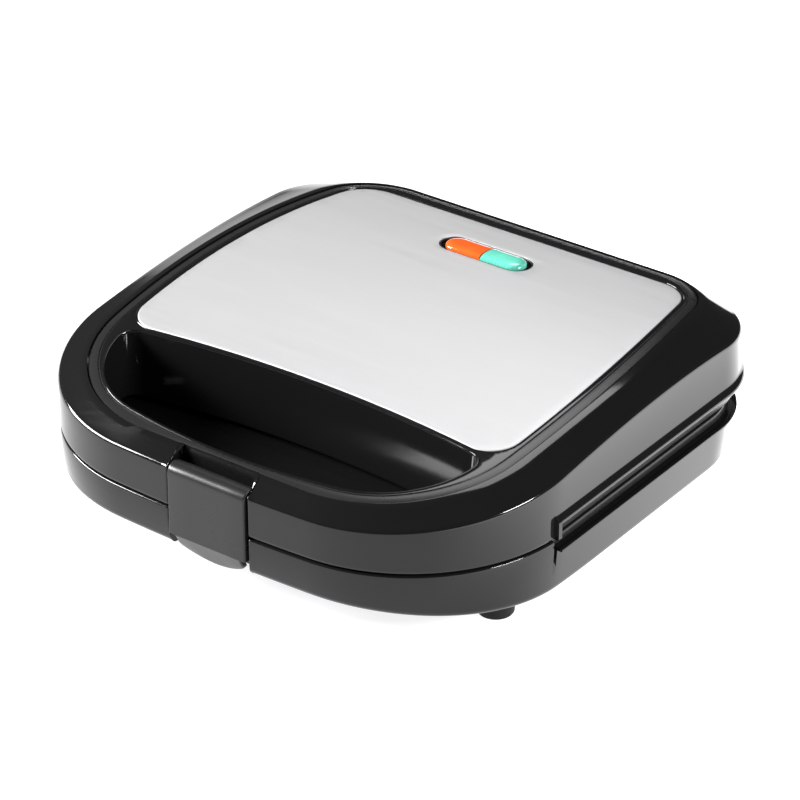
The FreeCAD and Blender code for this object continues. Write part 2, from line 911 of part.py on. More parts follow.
def make_top_frame():
    """The satin frame under the steel plate, with the finger well's wall hanging from it."""
    sheet = cut(
        "frame_sheet",
        under_crown("frame_area", rim_path(ZERO), LID_LOW, ZERO),
        crown_block("frame_under", FRAME, HALF + OVER),
    )
    liner = under_crown("frame_liner", well_path(size("well_skin")), LID_LOW, ZERO)
    tools = group(
        "frame_cuts",
        pad("frame_well", well_path(ZERO), LID_LOW - OVER, SKY),
        over_crown("frame_steel_seat", steel_path(SEAM), size("steel_sink") + size("steel_thickness")),
        window("frame_window", SEAM, HOLDER_LOW),
    )
    node(cut("top_frame", fuse("frame_solid", sheet, liner), tools))


def make_steel_plate():
    area = under_crown("steel_area", steel_path(ZERO), LID_LOW, size("steel_sink"))
    sink = size("steel_sink") + size("steel_thickness")
    sheet = cut("steel_sheet", area, crown_block("steel_under", sink, HALF + OVER))
    node(cut("steel_top_plate", sheet, window("steel_window", size("lens_gap"), HOLDER_LOW)))


# ------------------------------------------------------------------------- lamps


def make_lamps():
    lip = -size("bezel_lip")
    low = HOLDER_LOW
    rim = cut("bezel_rim", window("bezel_outer", ZERO, low), window("bezel_inner", lip, low))
    proud = common("bezel_proud_rim", rim, crown_block("bezel_top", -size("bezel_proud"), HALF + OVER))
    node(cut("lamp_bezel", proud, crown_block("bezel_under", size("bezel_depth"), HALF + OVER)))
    half = WINDOW[0] - size("bezel_lip")
    for name, sign in (("red_lens", -1), ("green_lens", 1)):
        near = size("lamp_divider") / 2
        x = (LAMP[0] + near, LAMP[0] + half) if sign > 0 else (LAMP[0] - half, LAMP[0] - near)
        keep = box(f"{name}_half", x, (LAMP[1] - WINDOW[1], LAMP[1] + WINDOW[1]), (low, SKY))
        pill = common(f"{name}_pill", window(f"{name}_slot", lip - size("lens_gap"), low), keep)
        top = crown_block(f"{name}_top", -size("lens_dome"), HALF + OVER)
        under = crown_block(f"{name}_under", size("bezel_depth"), HALF + OVER)
        node(cut(name, common(f"{name}_dome", pill, top), under))
    neon_z = CROWN_REAR - size("neon_sink") + size("neon_radius")
    holder = box(
        "holder_block",
        (LAMP[0] - size("holder_half_length"), LAMP[0] + size("holder_half_length")),
        (LAMP[1] - size("holder_half_width"), LAMP[1] + size("holder_half_width")),
        (low, SKY),
    )
    under_roof = crown_block("holder_top", ROOF_SINK, HALF + OVER)
    troughs = []
    for side, sign in SIDES:
        middle = LAMP[0] + half / 2 * sign
        reach = size("neon_length") / 2 + size("holder_floor") / 2
        width = size("neon_radius") + size("holder_floor") / 2
        troughs.append(box(
            f"holder_trough_{side}",
            (middle - reach, middle + reach),
            (LAMP[1] - width, LAMP[1] + width),
            (neon_z - size("neon_radius"), SKY),
        ))
        node(cylinder(
            f"neon_lamp_{side}",
            size("neon_radius"),
            size("neon_length"),
            (middle - size("neon_length") / 2, LAMP[1], neon_z),
            "x",
        ))
    node(cut("lamp_holder", common("holder_solid", holder, under_roof), group("holder_cuts", *troughs)))


# ------------------------------------------------------------------------- latch


def make_latch():
    tab_low = size("latch_foot") - size("latch_tab_drop")
    barrel = size("latch_barrel")
    foot = size("latch_foot")
    tuck = size("latch_tab_tuck")
    profile = [
        (LATCH_FACE + tuck, tab_low, None),
        (LATCH_INNER + tuck - size("latch_tab_thinning"), tab_low, None),
        (LATCH_INNER, foot, None),
        (LATCH_INNER, LATCH_Z - barrel, None),
        (LATCH_Y, LATCH_Z - barrel, barrel),
        (LATCH_Y + barrel, LATCH_Z, barrel),
        (LATCH_Y, LATCH_Z + barrel, None),
        (LATCH_FACE + barrel, LATCH_Z + barrel, barrel),
        (LATCH_FACE, LATCH_Z, None),
        (LATCH_FACE, foot, None),
    ]
    plate = pad("latch_plate", profile, -LATCH_HALF, LATCH_HALF, "YZ_Plane")
    depth = (LATCH_FACE - OVER, NOTCH_BACK)
    above = box("latch_above_foot", (-LATCH_HALF, LATCH_HALF), depth, (foot, SKY))
    rounding = cylinder(
        "latch_tab_form",
        size("latch_tab_round"),
        depth[1] - depth[0],
        (ZERO, depth[0], tab_low + size("latch_tab_round")),
        "y",
    )
    tab_half = size("latch_tab_half_width")
    below = box("latch_below_foot", (-tab_half, tab_half), depth, (tab_low - OVER, foot))
    tab = common("latch_tab_outline", rounding, below)
    front = common("latch_front", plate, fuse("latch_outline", above, tab))
    hook = box(
        "latch_hook",
        (-size("latch_hook_half_width"), size("latch_hook_half_width")),
        (LATCH_INNER - WALL, CATCH_FACE + size("latch_hook_reach")),
        (HOOK_LOW, HOOK_TOP),
    )
    hole = cylinder(
        "latch_pin_hole",
        size("latch_pin_radius") + RUNNING,
        LATCH_HALF * 2,
        (-LATCH_HALF, LATCH_Y, LATCH_Z),
        "x",
    )
    node(cut("latch_clip", fuse("latch_solid", front, hook), hole))
    length = (NOTCH_HALF + WALL) * 2
    node(cylinder(
        "latch_pin",
        size("latch_pin_radius"),
        length,
        (-(NOTCH_HALF + WALL), LATCH_Y, LATCH_Z),
        "x",
    ))


# -------------------------------------------------------------------- base shell


def base_ears(side, sign):
    """The two base knuckles that hold one hinge pin."""
    ears = []
    x = size("hinge_station") * sign
    for end, low, high in (("low", x - EAR_FAR, x - EAR_NEAR), ("high", x + EAR_NEAR, x + EAR_FAR)):
        barrel = cylinder(f"ear_{side}_{end}_barrel", HINGE_R, high - low, (low, HINGE_Y, HINGE_Z), "x")
        arm = box(
            f"ear_{side}_{end}_arm",
            (low, high),
            (BASE_REAR - CORE_INSET, HINGE_Y),
            (HINGE_Z - HINGE_R, HINGE_Z + HINGE_R),
        )
        ears.append(fuse(f"ear_{side}_{end}", barrel, arm))
    return ears


def make_base_housing():
    flange_low = size("band_bottom") - size("flange_thickness")
    skirt = loft(
        "base_skirt",
        body_path(size("base_draft"), BASE_REAR),
        body_path(ZERO, BASE_REAR),
        BASE_LOW,
        flange_low,
    )
    collar = pad("base_collar", body_path(ZERO, BASE_REAR), flange_low, BASE_TOP)
    keel = keel_block("base_keel", ZERO, HALF + OVER)
    outer = common("base_outer", fuse("base_form", skirt, collar), keel)
    flange = slice_of(
        "base_flange",
        body_path(-size("flange_reach"), BASE_REAR),
        (flange_low, size("band_bottom")),
        (BAND_FRONT, size("flange_stop")),
    )
    core_top = DECK - size("deck_skin")
    core = common(
        "base_core",
        pad("base_core_column", body_path(CORE_INSET, BASE_REAR), ZERO, core_top),
        keel_block("base_core_keel", WALL, HALF + OVER),
    )
    pocket = pad("base_deck_pocket", body_path(CORE_INSET, BASE_REAR), DECK, BASE_TOP + OVER)
    opening = pad("base_plate_opening", plate_outline(-size("plate_ledge")), core_top - OVER, DECK + OVER)
    band = ring_slice(
        "base_band",
        body_path(size("band_depth"), BASE_REAR),
        body_path(-OVER, BASE_REAR),
        (size("band_bottom"), BASE_TOP + OVER),
        (BAND_FRONT, BEHIND),
    )
    band_notch = ring_slice(
        "base_band_notch",
        body_path(size("band_depth"), BASE_REAR),
        body_path(-OVER, BASE_REAR),
        (size("band_bottom") - size("notch_drop"), BASE_TOP + OVER),
        (BAND_FRONT - size("band_end_width"), BAND_FRONT),
    )
    body = fuse("base_flanged", outer, flange)
    shell = cut("base_shell", body, group("base_hollows", core, pocket, opening, band, band_notch))
    surround = common(
        "base_notch_surround",
        latch_box("base_notch_block", WALL, (-(FRONT + OVER), NOTCH_BACK + WALL), (ZERO, BASE_TOP)),
        outer,
    )
    bosses = []
    boss_top = size("base_shield_height")
    for i, (x, y) in enumerate(PLATE_SCREWS):
        start = (x, y, BASE_LOW)
        bosses.append(cylinder(f"base_boss_{i}", size("boss_radius"), boss_top - BASE_LOW, start))
    ears = [ear for side, sign in SIDES for ear in base_ears(side, sign)]
    solid = fuse("base_solid", shell, surround, *bosses, *ears)
    notch = latch_box(
        "base_notch",
        ZERO,
        (-(FRONT + OVER), NOTCH_BACK),
        (ZERO, BASE_TOP + OVER),
    )
    tools = [notch]
    for i, (x, y) in enumerate(PLATE_SCREWS):
        tools.append(cylinder(f"base_boss_hole_{i}", SCREW, boss_top, (x, y, ZERO)))
        tools.append(cylinder(f"base_boss_sink_{i}", HEAD_ROOM, BASE_LOW + HEAD_TALL, (x, y, ZERO)))
    tools.append(cylinder(
        "base_gland_hole",
        size("gland_neck"),
        CORE_INSET * 2,
        (ZERO, BASE_REAR - CORE_INSET * 1.5, GLAND_Z),
        "y",
    ))
    for side, sign in SIDES:
        start = size("hinge_station") * sign - EAR_FAR
        tools.append(cylinder(
            f"base_pin_hole_{side}",
            HINGE_PIN,
            EAR_FAR * 2,
            (start, HINGE_Y, HINGE_Z),
            "x",
        ))
        node(cylinder(f"hinge_pin_{side}", HINGE_PIN, EAR_FAR * 2, (start, HINGE_Y, HINGE_Z), "x"))
    catch = box(
        "base_catch",
        (-size("catch_half_width"), size("catch_half_width")),
        (CATCH_FACE, NOTCH_BACK + WALL),
        (CATCH_LOW, CATCH_LOW + size("catch_height")),
    )
    carved = cut("base_carved", solid, group("base_cuts", *tools))
    node(fuse("base_housing", carved, catch))


# --------------------------------------------------------------- cooking sections


def cooking_plate(name, face, side, bosses):
    """A cast plate with a ring mould in each cup and bosses on its back.

    Each boss is (x, y, radius, how far it reaches from the face, whether it is drilled).
    """
    slab_z = span(face, side, ZERO, size("plate_flange"))
    slab = pad(f"{name}_slab", plate_outline(ZERO), *slab_z)
    cups = []
    moulds = []
    for i, x in enumerate(COLUMNS):
        for j, y in enumerate(ROWS):
            cups.append(ring(f"{name}_cup_{i}{j}", size("ring_radius"), CUP_RADIUS, (x, y, face)))
            centre = (x, y, face)
            moulds.append(ring(f"{name}_mould_{i}{j}", size("ring_radius"), size("ring_tube"), centre))
    back = span(face, side, ZERO, HALF)
    wide = PLATE_HALF + OVER
    keep = box(f"{name}_keep", (-wide, wide), (PLATE_FRONT - OVER, PLATE_REAR + OVER), back)
    posts = []
    holes = []
    for i, (x, y, radius, reach, drilled) in enumerate(bosses):
        post = span(face, side, size("plate_flange") / 2, reach)
        posts.append(cylinder(f"{name}_boss_{i}", radius, post[1] - post[0], (x, y, post[0])))
        if drilled:
            hole = span(face, side, reach - size("screw_grip"), reach)
            holes.append(cylinder(f"{name}_hole_{i}", SCREW, hole[1] - hole[0], (x, y, hole[0])))
    casting = common(f"{name}_casting", fuse(f"{name}_form", slab, *cups, *posts), keep)
    node(cut(name, casting, group(f"{name}_cuts", *moulds, *holes)))


def heating_element(name, face, side):
    """A sheathed heater bent into a U, lying across the backs of the cups."""
    z = face + ELEMENT_RISE * side
    radius = size("element_radius")
    turn_x = size("element_turn_inset") - PITCH_X
    end_x = size("plate_half_width") - size("element_end_inset")
    bend = HALF_PITCH_Y
    loop = ring(f"{name}_loop", bend, radius, (turn_x, PLATE_Y, z))
    far = turn_x - bend - radius
    turn = common(
        f"{name}_turn",
        loop,
        box(
            f"{name}_turn_keep",
            (far - OVER, turn_x),
            (PLATE_Y - bend - OVER, PLATE_Y + bend + OVER),
            (z - OVER, z + OVER),
        ),
    )
    legs = [turn]
    pins = []
    for i, y in enumerate(ROWS):
        legs.append(cylinder(f"{name}_leg_{i}", radius, end_x - turn_x, (turn_x, y, z), "x"))
        pins.append(cylinder(
            f"{name}_pin_{i}",
            size("terminal_radius"),
            size("terminal_length"),
            (end_x, y, z),
            "x",
        ))
    node(fuse(name, *legs))
    node(group(name.replace("heating_element", "element_terminals"), *pins))


def element_clamp(name, face, side):
    """The strap that holds both legs of the heater against the casting."""
    z = span(face, side, CLAMP_RISE, CLAMP_RISE + size("clamp_thickness"))
    half = size("clamp_width") / 2
    strap = box(
        f"{name}_strap",
        (-half, half),
        (ROWS[0] - size("clamp_overhang"), ROWS[1] + size("clamp_overhang")),
        z,
    )
    hole = cylinder(f"{name}_hole", SCREW, size("clamp_thickness"), (ZERO, PLATE_Y, z[0]))
    node(cut(name, strap, hole))
    seat = z[1] if side > 0 else z[0]
    length = size("clamp_thickness") + size("screw_grip")
    screws(f"{name}_screw", [(ZERO, PLATE_Y, seat, length)], side)


def heat_shield(name, low, side):
    """A folded sheet-metal tray between the heater and the casing."""
    thick = size("shield_thickness")
    inset = size("shield_inset")
    fold = low if side > 0 else low + thick
    skirt = span(fold, -side, ZERO, size("shield_skirt"))
    tray = pad(f"{name}_tray", plate_outline(-inset), low, low + thick)
    wall = cut(
        f"{name}_skirt",
        pad(f"{name}_skirt_outer", plate_outline(-inset), *skirt),
        pad(f"{name}_skirt_inner", plate_outline(-(inset + thick)), *skirt),
    )
    holes = []
    for i, (x, y) in enumerate(PLATE_SCREWS):
        holes.append(cylinder(f"{name}_hole_{i}", SCREW, OVER * 2, (x, y, low - OVER)))
    node(cut(name, fuse(f"{name}_form", tray, wall), group(f"{name}_cuts", *holes)))


def fuse_sleeve(name, low):
    """A thermal fuse in its glass-fibre sleeve."""
    radius = size("fuse_radius")
    start = PITCH_X / 2 + size("boss_radius") + size("fuse_gap")
    node(cylinder(name, radius, size("fuse_length"), (start, PLATE_Y, low + radius), "x"))


def make_lower_section():
    shield_top = size("base_shield_height") + size("shield_thickness")
    reach = LOWER_FACE - shield_top
    bosses = [(x, y, size("boss_radius"), reach, True) for x, y in PLATE_SCREWS]
    bosses.append((ZERO, PLATE_Y, size("boss_radius"), CLAMP_RISE, True))
    cooking_plate("lower_cooking_plate", LOWER_FACE, -1, bosses)
    heating_element("lower_heating_element", LOWER_FACE, -1)
    element_clamp("lower_element_clamp", LOWER_FACE, -1)
    heat_shield("lower_heat_shield", size("base_shield_height"), -1)
    fuse_sleeve("lower_thermal_fuse", shield_top)
    seat = BASE_LOW + HEAD_TALL
    length = shield_top - seat + size("screw_grip")
    screws("lower_plate_screws", [(x, y, seat, length) for x, y in PLATE_SCREWS], -1)


def make_upper_section():
    shield_low = SHIELD_LOW
    reach = shield_low - UPPER_FACE
    bosses = [(x, y, size("boss_radius"), reach, True) for x, y in PLATE_SCREWS]
    bosses.append((ZERO, PLATE_Y, size("boss_radius"), CLAMP_RISE, True))
    thermostat_rise = size("thermostat_rise")
    bosses.append((COLUMNS[0], PLATE_Y, size("thermostat_pad"), thermostat_rise, False))
    cooking_plate("upper_cooking_plate", UPPER_FACE, 1, bosses)
    heating_element("upper_heating_element", UPPER_FACE, 1)
    element_clamp("upper_element_clamp", UPPER_FACE, 1)
    heat_shield("upper_heat_shield", shield_low, 1)
    fuse_sleeve("upper_thermal_fuse", shield_low - size("fuse_radius") * 2)
    low = UPPER_FACE + thermostat_rise
    can_start = (COLUMNS[0], PLATE_Y, low)
    can = cylinder("thermostat_can", size("thermostat_radius"), size("thermostat_height"), can_start)
    studs = []
    top = low + size("thermostat_height")
    stud = size("thermostat_stud")
    for side, sign in SIDES:
        x = COLUMNS[0] + size("thermostat_radius") / 2 * sign
        studs.append(cylinder(f"thermostat_stud_{side}", stud, stud, (x, PLATE_Y, top)))
    node(fuse("thermostat", can, *studs))
    length = SCREW_SEAT - shield_low + size("screw_grip")
    screws("upper_plate_screws", [(x, y, SCREW_SEAT, length) for x, y in PLATE_SCREWS], 1)


# ------------------------------------------------------------- feet, cord and mains


def make_feet():
    for name, x, y in (
        ("front", size("front_foot_x"), -size("front_foot_y")),
        ("rear", size("rear_foot_x"), size("rear_foot_y")),
    ):
        for side, sign in SIDES:
            label = f"rubber_foot_{name}_{side}"
            peg = cylinder(f"{label}_peg", size("foot_radius"), BASE_LOW + OVER, (x * sign, y, ZERO))
            node(cut(label, peg, keel_block(f"{label}_top", ZERO, HALF + OVER)))


def make_mains():
    inner_face = BASE_REAR - CORE_INSET
    neck_start = inner_face - size("gland_collar")
    outer_start = BASE_REAR + SEAM
    neck = cylinder(
        "gland_neck_form",
        size("gland_neck"),
        outer_start - neck_start,
        (ZERO, neck_start, GLAND_Z),
        "y",
    )
    sleeve = cylinder(
        "gland_sleeve",
        size("gland_radius"),
        size("gland_reach"),
        (ZERO, outer_start, GLAND_Z),
        "y",
    )
    collar = cylinder(
        "gland_collar_form",
        size("gland_radius"),
        size("gland_collar"),
        (ZERO, neck_start, GLAND_Z),
        "y",
    )
    bore = cylinder("gland_bore_form", size("gland_bore"), HALF, (ZERO, neck_start - OVER, GLAND_Z), "y")
    node(cut("cord_gland", fuse("gland_solid", neck, sleeve, collar), bore))
    floor = BASE_LOW + WALL
    clamp_rear = neck_start - size("block_clearance")
    clamp = box(
        "cord_clamp_block",
        (-size("cord_clamp_half_width"), size("cord_clamp_half_width")),
        (clamp_rear - size("cord_clamp_depth"), clamp_rear),
        (floor, GLAND_Z + size("cord_clamp_height")),
    )
    path = cylinder("cord_clamp_path", size("gland_bore"), HALF, (ZERO, ZERO, GLAND_Z), "y")
    node(cut("cord_clamp", clamp, path))
    rear = inner_face - size("block_clearance")
    block_x = size("block_x")
    half = size("block_half_length")
    node(box(
        "terminal_block",
        (block_x - half, block_x + half),
        (rear - size("block_depth"), rear),
        (floor, floor + size("block_height")),
    ))


make_lid_housing()
make_lid_panel()
make_top_frame()
make_steel_plate()
make_lamps()
make_latch()
make_base_housing()
make_lower_section()
make_upper_section()
make_feet()
make_mains()
doc.recompute()

# ----------------------------------------------------------------- check and export

for thing in doc.Objects:
    if {"Invalid", "Error"} & set(thing.State):
        raise SystemExit(f"{thing.Name} failed to build: {thing.State}")
for thing in NODES:
    if thing.Shape.isNull() or not thing.Shape.isValid() or not thing.Shape.Solids:
        raise SystemExit(f"{thing.Label} is not a valid solid")

os.makedirs("parts", exist_ok=True)
for thing in NODES:
    thing.Shape.exportStep(f"parts/{thing.Label}.step")
    print(f"{thing.Label}: {len(thing.Shape.Solids)} solid(s), {thing.Shape.Volume:.0f} mm3")
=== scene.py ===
# %% [markdown]
# # A two-plate ring-doughnut maker
# The real appliance is two glossy black clamshell mouldings with a brushed steel plate let
# into the lid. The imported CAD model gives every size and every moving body. This lesson adds
# what CAD leaves plain: softly rounded edges, the satin frame, the brushed steel, the lamps.

# %% Load the frame
import json
import math

import bpy
import bmesh
import numpy as np
from mathutils import Matrix, Vector
from mathutils.geometry import delaunay_2d_cdt


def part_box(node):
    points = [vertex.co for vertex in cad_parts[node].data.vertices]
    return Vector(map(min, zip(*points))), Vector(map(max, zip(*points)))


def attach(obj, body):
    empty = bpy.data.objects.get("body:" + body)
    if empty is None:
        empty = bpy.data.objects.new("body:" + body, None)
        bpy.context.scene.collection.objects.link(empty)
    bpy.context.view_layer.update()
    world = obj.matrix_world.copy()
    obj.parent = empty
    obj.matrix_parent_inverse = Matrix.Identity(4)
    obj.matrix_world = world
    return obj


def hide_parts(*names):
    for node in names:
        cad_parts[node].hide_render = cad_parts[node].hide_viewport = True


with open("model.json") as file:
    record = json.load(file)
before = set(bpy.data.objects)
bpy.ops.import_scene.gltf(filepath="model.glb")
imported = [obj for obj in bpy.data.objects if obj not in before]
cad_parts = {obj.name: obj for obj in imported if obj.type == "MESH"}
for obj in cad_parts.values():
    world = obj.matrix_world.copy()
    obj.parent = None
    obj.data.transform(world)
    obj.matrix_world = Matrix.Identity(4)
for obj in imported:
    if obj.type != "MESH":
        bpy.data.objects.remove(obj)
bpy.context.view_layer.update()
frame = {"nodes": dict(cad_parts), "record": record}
MM = 0.001


def corner_mm(node):
    """A CAD node's lowest and highest corners, in millimetres."""
    low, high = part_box(node)
    return [v / MM for v in low], [v / MM for v in high]


# %% [markdown]
# ## Sizes
# Blender pieces have to meet the CAD ones, so the driving sizes are read from the frame's
# boxes wherever a box shows them. The rest are the corner radii and sweeps of the outlines,
# which no box can tell.

# %% Sizes taken from the frame, in millimetres
housing_low, housing_high = corner_mm("lid_housing")
panel_low, panel_high = corner_mm("lid_inner_panel")
steel_low, steel_high = corner_mm("steel_top_plate")
latch_low, latch_high = corner_mm("latch_clip")
plate_low, plate_high = corner_mm("lower_cooking_plate")
bezel_low, bezel_high = corner_mm("lamp_bezel")
pin_low, pin_high = corner_mm("hinge_pin_right")

PANEL_INSET = 4.4
HALF = panel_high[0] + PANEL_INSET
FRONT = -housing_low[1]
LID_REAR = panel_high[1] + PANEL_INSET
LIP = housing_high[0] - HALF
LID_LOW = panel_low[2]
BASE_TOP = LID_LOW - 1.0
BASE_REAR = LID_REAR - 6.0
FRONT_SWEEP = 781.0
FRONT_CORNER = 74.5
REAR_CORNER = 40.0
DROP = 6.2
STEEL_HALF = steel_high[0]
STEEL_REAR = steel_high[1]
STEEL_FRONT = -steel_low[1]
STEEL_SIDE = 506.0
STEEL_APEX = -8.0
RIM = 7.2
RIM_FRONT = 108.4
RIM_REAR = 111.6
WELL_HALF = 89.5
WELL_FRONT = 104.6
WELL_REAR = 56.0
print("half width", round(HALF, 2), "lid rear", round(LID_REAR, 2), "lip", round(LIP, 2))


CROWN_STATION = -13.0
CROWN_TERMS = (67.63, 8.0, 5.04, 2.0)
KEEL_STATION = -13.0
KEEL_SWEEP = 590.0
FOOT_TOP = 5.0


def crown(y):
    """Height of the lid's crowned top above the table at a station y."""
    u = (y - CROWN_STATION) / 100.0
    height, slope, bend, twist = CROWN_TERMS
    return height + slope * u - bend * u * u - twist * u ** 3


def keel(y):
    """Height of the base's underside, which sweeps up under the front grip."""
    reach = max(0.0, KEEL_STATION - y)
    return FOOT_TOP + KEEL_SWEEP - math.sqrt(KEEL_SWEEP * KEEL_SWEEP - reach * reach)


# %% [markdown]
# ## Outlines
# Seen from above, each moulding is a chain of arcs and lines. A segment knows how to give a
# point and its outward normal at any share of its length, so that every later ring can be
# offset along the normals: that is how a rounded edge keeps an even width round a corner.

# %% Arcs, lines and sampled outlines
def arc(centre, radius, start, end):
    """A segment that turns about centre; a negative radius bows inwards."""
    def at(share):
        angle = math.radians(start + (end - start) * share)
        out = (math.cos(angle), math.sin(angle))
        point = (centre[0] + abs(radius) * out[0], centre[1] + abs(radius) * out[1])
        sign = 1 if radius > 0 else -1
        return point, (out[0] * sign, out[1] * sign)
    return at


def line(start, end):
    run = (end[0] - start[0], end[1] - start[1])
    size = math.hypot(*run)
    normal = (run[1] / size, -run[0] / size)

    def at(share):
        return (start[0] + run[0] * share, start[1] + run[1] * share), normal
    return at


def mirror(segment):
    """The same segment on the other side of the middle, walked the same way round."""
    def at(share):
        (x, y), (normal_x, normal_y) = segment(1 - share)
        return (-x, y), (-normal_x, normal_y)
    return at


def both_sides(right, rear):
    """A closed chain from its right half, front to back, and the segment across the rear."""
    return [*right, rear, *(mirror(segment) for segment in reversed(right))]


def sample(segments, counts):
    """Points and outward normals of a closed chain, as two arrays."""
    points, normals = [], []
    for segment, count in zip(segments, counts):
        for i in range(count):
            point, normal = segment(i / count)
            points.append(point)
            normals.append(normal)
    return np.array(points), np.array(normals)


def bearing(centre, point):
    return math.degrees(math.atan2(point[1] - centre[1], point[0] - centre[0]))


def touch(big, big_radius, small, small_radius):
    """Where a small circle touches a big one from inside."""
    scale = big_radius / (big_radius - small_radius)
    return tuple(b + (c - b) * scale for b, c in zip(big, small))


def body_segments(rear):
    """The casing outline, from the front centre round to it again."""
    bow = (0.0, FRONT_SWEEP - FRONT)
    corner_x = HALF - FRONT_CORNER
    reach = math.sqrt((FRONT_SWEEP - FRONT_CORNER) ** 2 - corner_x ** 2)
    corner = (corner_x, bow[1] - reach)
    meet = touch(bow, FRONT_SWEEP, corner, FRONT_CORNER)
    tilt = bearing(bow, meet)
    back = (HALF - REAR_CORNER, rear - REAR_CORNER)
    right = [
        arc(bow, FRONT_SWEEP, -90, tilt),
        arc(corner, FRONT_CORNER, tilt, 0),
        line((HALF, corner[1]), (HALF, back[1])),
        arc(back, REAR_CORNER, 0, 90),
    ]
    return both_sides(right, line((back[0], rear), (-back[0], rear)))


def bowed_segments(grow, front, rear, front_radius, rear_radius, dip):
    """An outline with bowed sides; dip is how far its front edge bends in at the middle."""
    sweep = STEEL_SIDE + grow
    side = (STEEL_HALF + grow - sweep, STEEL_APEX)

    def corner_centre(y, radius):
        return (side[0] + math.sqrt((sweep - radius) ** 2 - (y - side[1]) ** 2), y)

    near = corner_centre(-front + front_radius, front_radius)
    far = corner_centre(rear - rear_radius, rear_radius)
    near_touch = touch(side, sweep, near, front_radius)
    far_touch = touch(side, sweep, far, rear_radius)
    low, high = bearing(side, near_touch), bearing(side, far_touch)
    if dip:
        radius = (near[0] ** 2 + dip ** 2) / (2 * dip)
        half = math.degrees(math.asin(near[0] / radius))
        middle = (0.0, -front + dip - radius)
        front_edge = arc(middle, -radius, 90, 90 - half)
    else:
        front_edge = line((0.0, -front), (near[0], -front))
    right = [
        front_edge,
        arc(near, front_radius, -90, low),
        arc(side, sweep, low, high),
        arc(far, rear_radius, high, 90),
    ]
    return both_sides(right, line((far[0], rear), (-far[0], rear)))


def rim_segments():
    return bowed_segments(RIM, RIM_FRONT, RIM_REAR, 62.0, 30.0, 0)


def steel_segments():
    return bowed_segments(0.0, STEEL_FRONT, STEEL_REAR, 13.5, 17.0, 5.3)


def well_segments():
    """The finger well: a bowed front, long front corners and tight rear corners."""
    corner_radius, tight_radius, rear_sweep, sweep = 44.0, 7.0, 560.0, 300.0
    bow = (0.0, sweep - WELL_FRONT)
    corner_x = WELL_HALF - corner_radius
    corner = (corner_x, bow[1] - math.sqrt((sweep - corner_radius) ** 2 - corner_x ** 2))
    meet = touch(bow, sweep, corner, corner_radius)
    tight_y = -WELL_REAR - tight_radius
    rise = tight_y - corner[1]
    run = math.sqrt((corner_radius - tight_radius) ** 2 - rise ** 2)
    tight = (corner_x + run, tight_y)
    tight_touch = touch(corner, corner_radius, tight, tight_radius)
    front_turn, side_turn = bearing(bow, meet), bearing(corner, tight_touch)
    lean = math.degrees(math.asin(tight[0] / rear_sweep))
    rear_middle = (0.0, -WELL_REAR - math.sqrt(rear_sweep ** 2 - tight[0] ** 2))
    right = [
        arc(bow, sweep, -90, front_turn),
        arc(corner, corner_radius, front_turn, side_turn),
        arc(tight, tight_radius, side_turn, 90),
    ]
    return both_sides(right, arc(rear_middle, rear_sweep, 90 - lean, 90 + lean))


def slot_outline(x, y, half, radius, count=18):
    """A slot with round ends along X."""
    segments = [
        line((x - half + radius, y - radius), (x + half - radius, y - radius)),
        arc((x + half - radius, y), radius, -90, 90),
        line((x + half - radius, y + radius), (x - half + radius, y + radius)),
        arc((x - half + radius, y), radius, 90, 270),
    ]
    return sample(segments, (4, count, 4, count))


rim_points, rim_normals = sample(rim_segments(), (24, 30, 30, 18, 24, 18, 30, 30, 24))
steel_points, steel_normals = sample(steel_segments(), (24, 12, 30, 14, 24, 14, 30, 12, 24))
well_points, well_normals = sample(well_segments(), (14, 26, 10, 40, 10, 26, 14))
print("rim samples", len(rim_points), "steel", len(steel_points), "well", len(well_points))


# %% [markdown]
# ## A small mesh builder
# A moulding is a stack of rings. Rings are joined by quads, and a ring is closed by a fill: a
# Delaunay triangulation with extra points on a grid, so that a filled face can follow the
# crown. Every piece made this way is a closed skin.

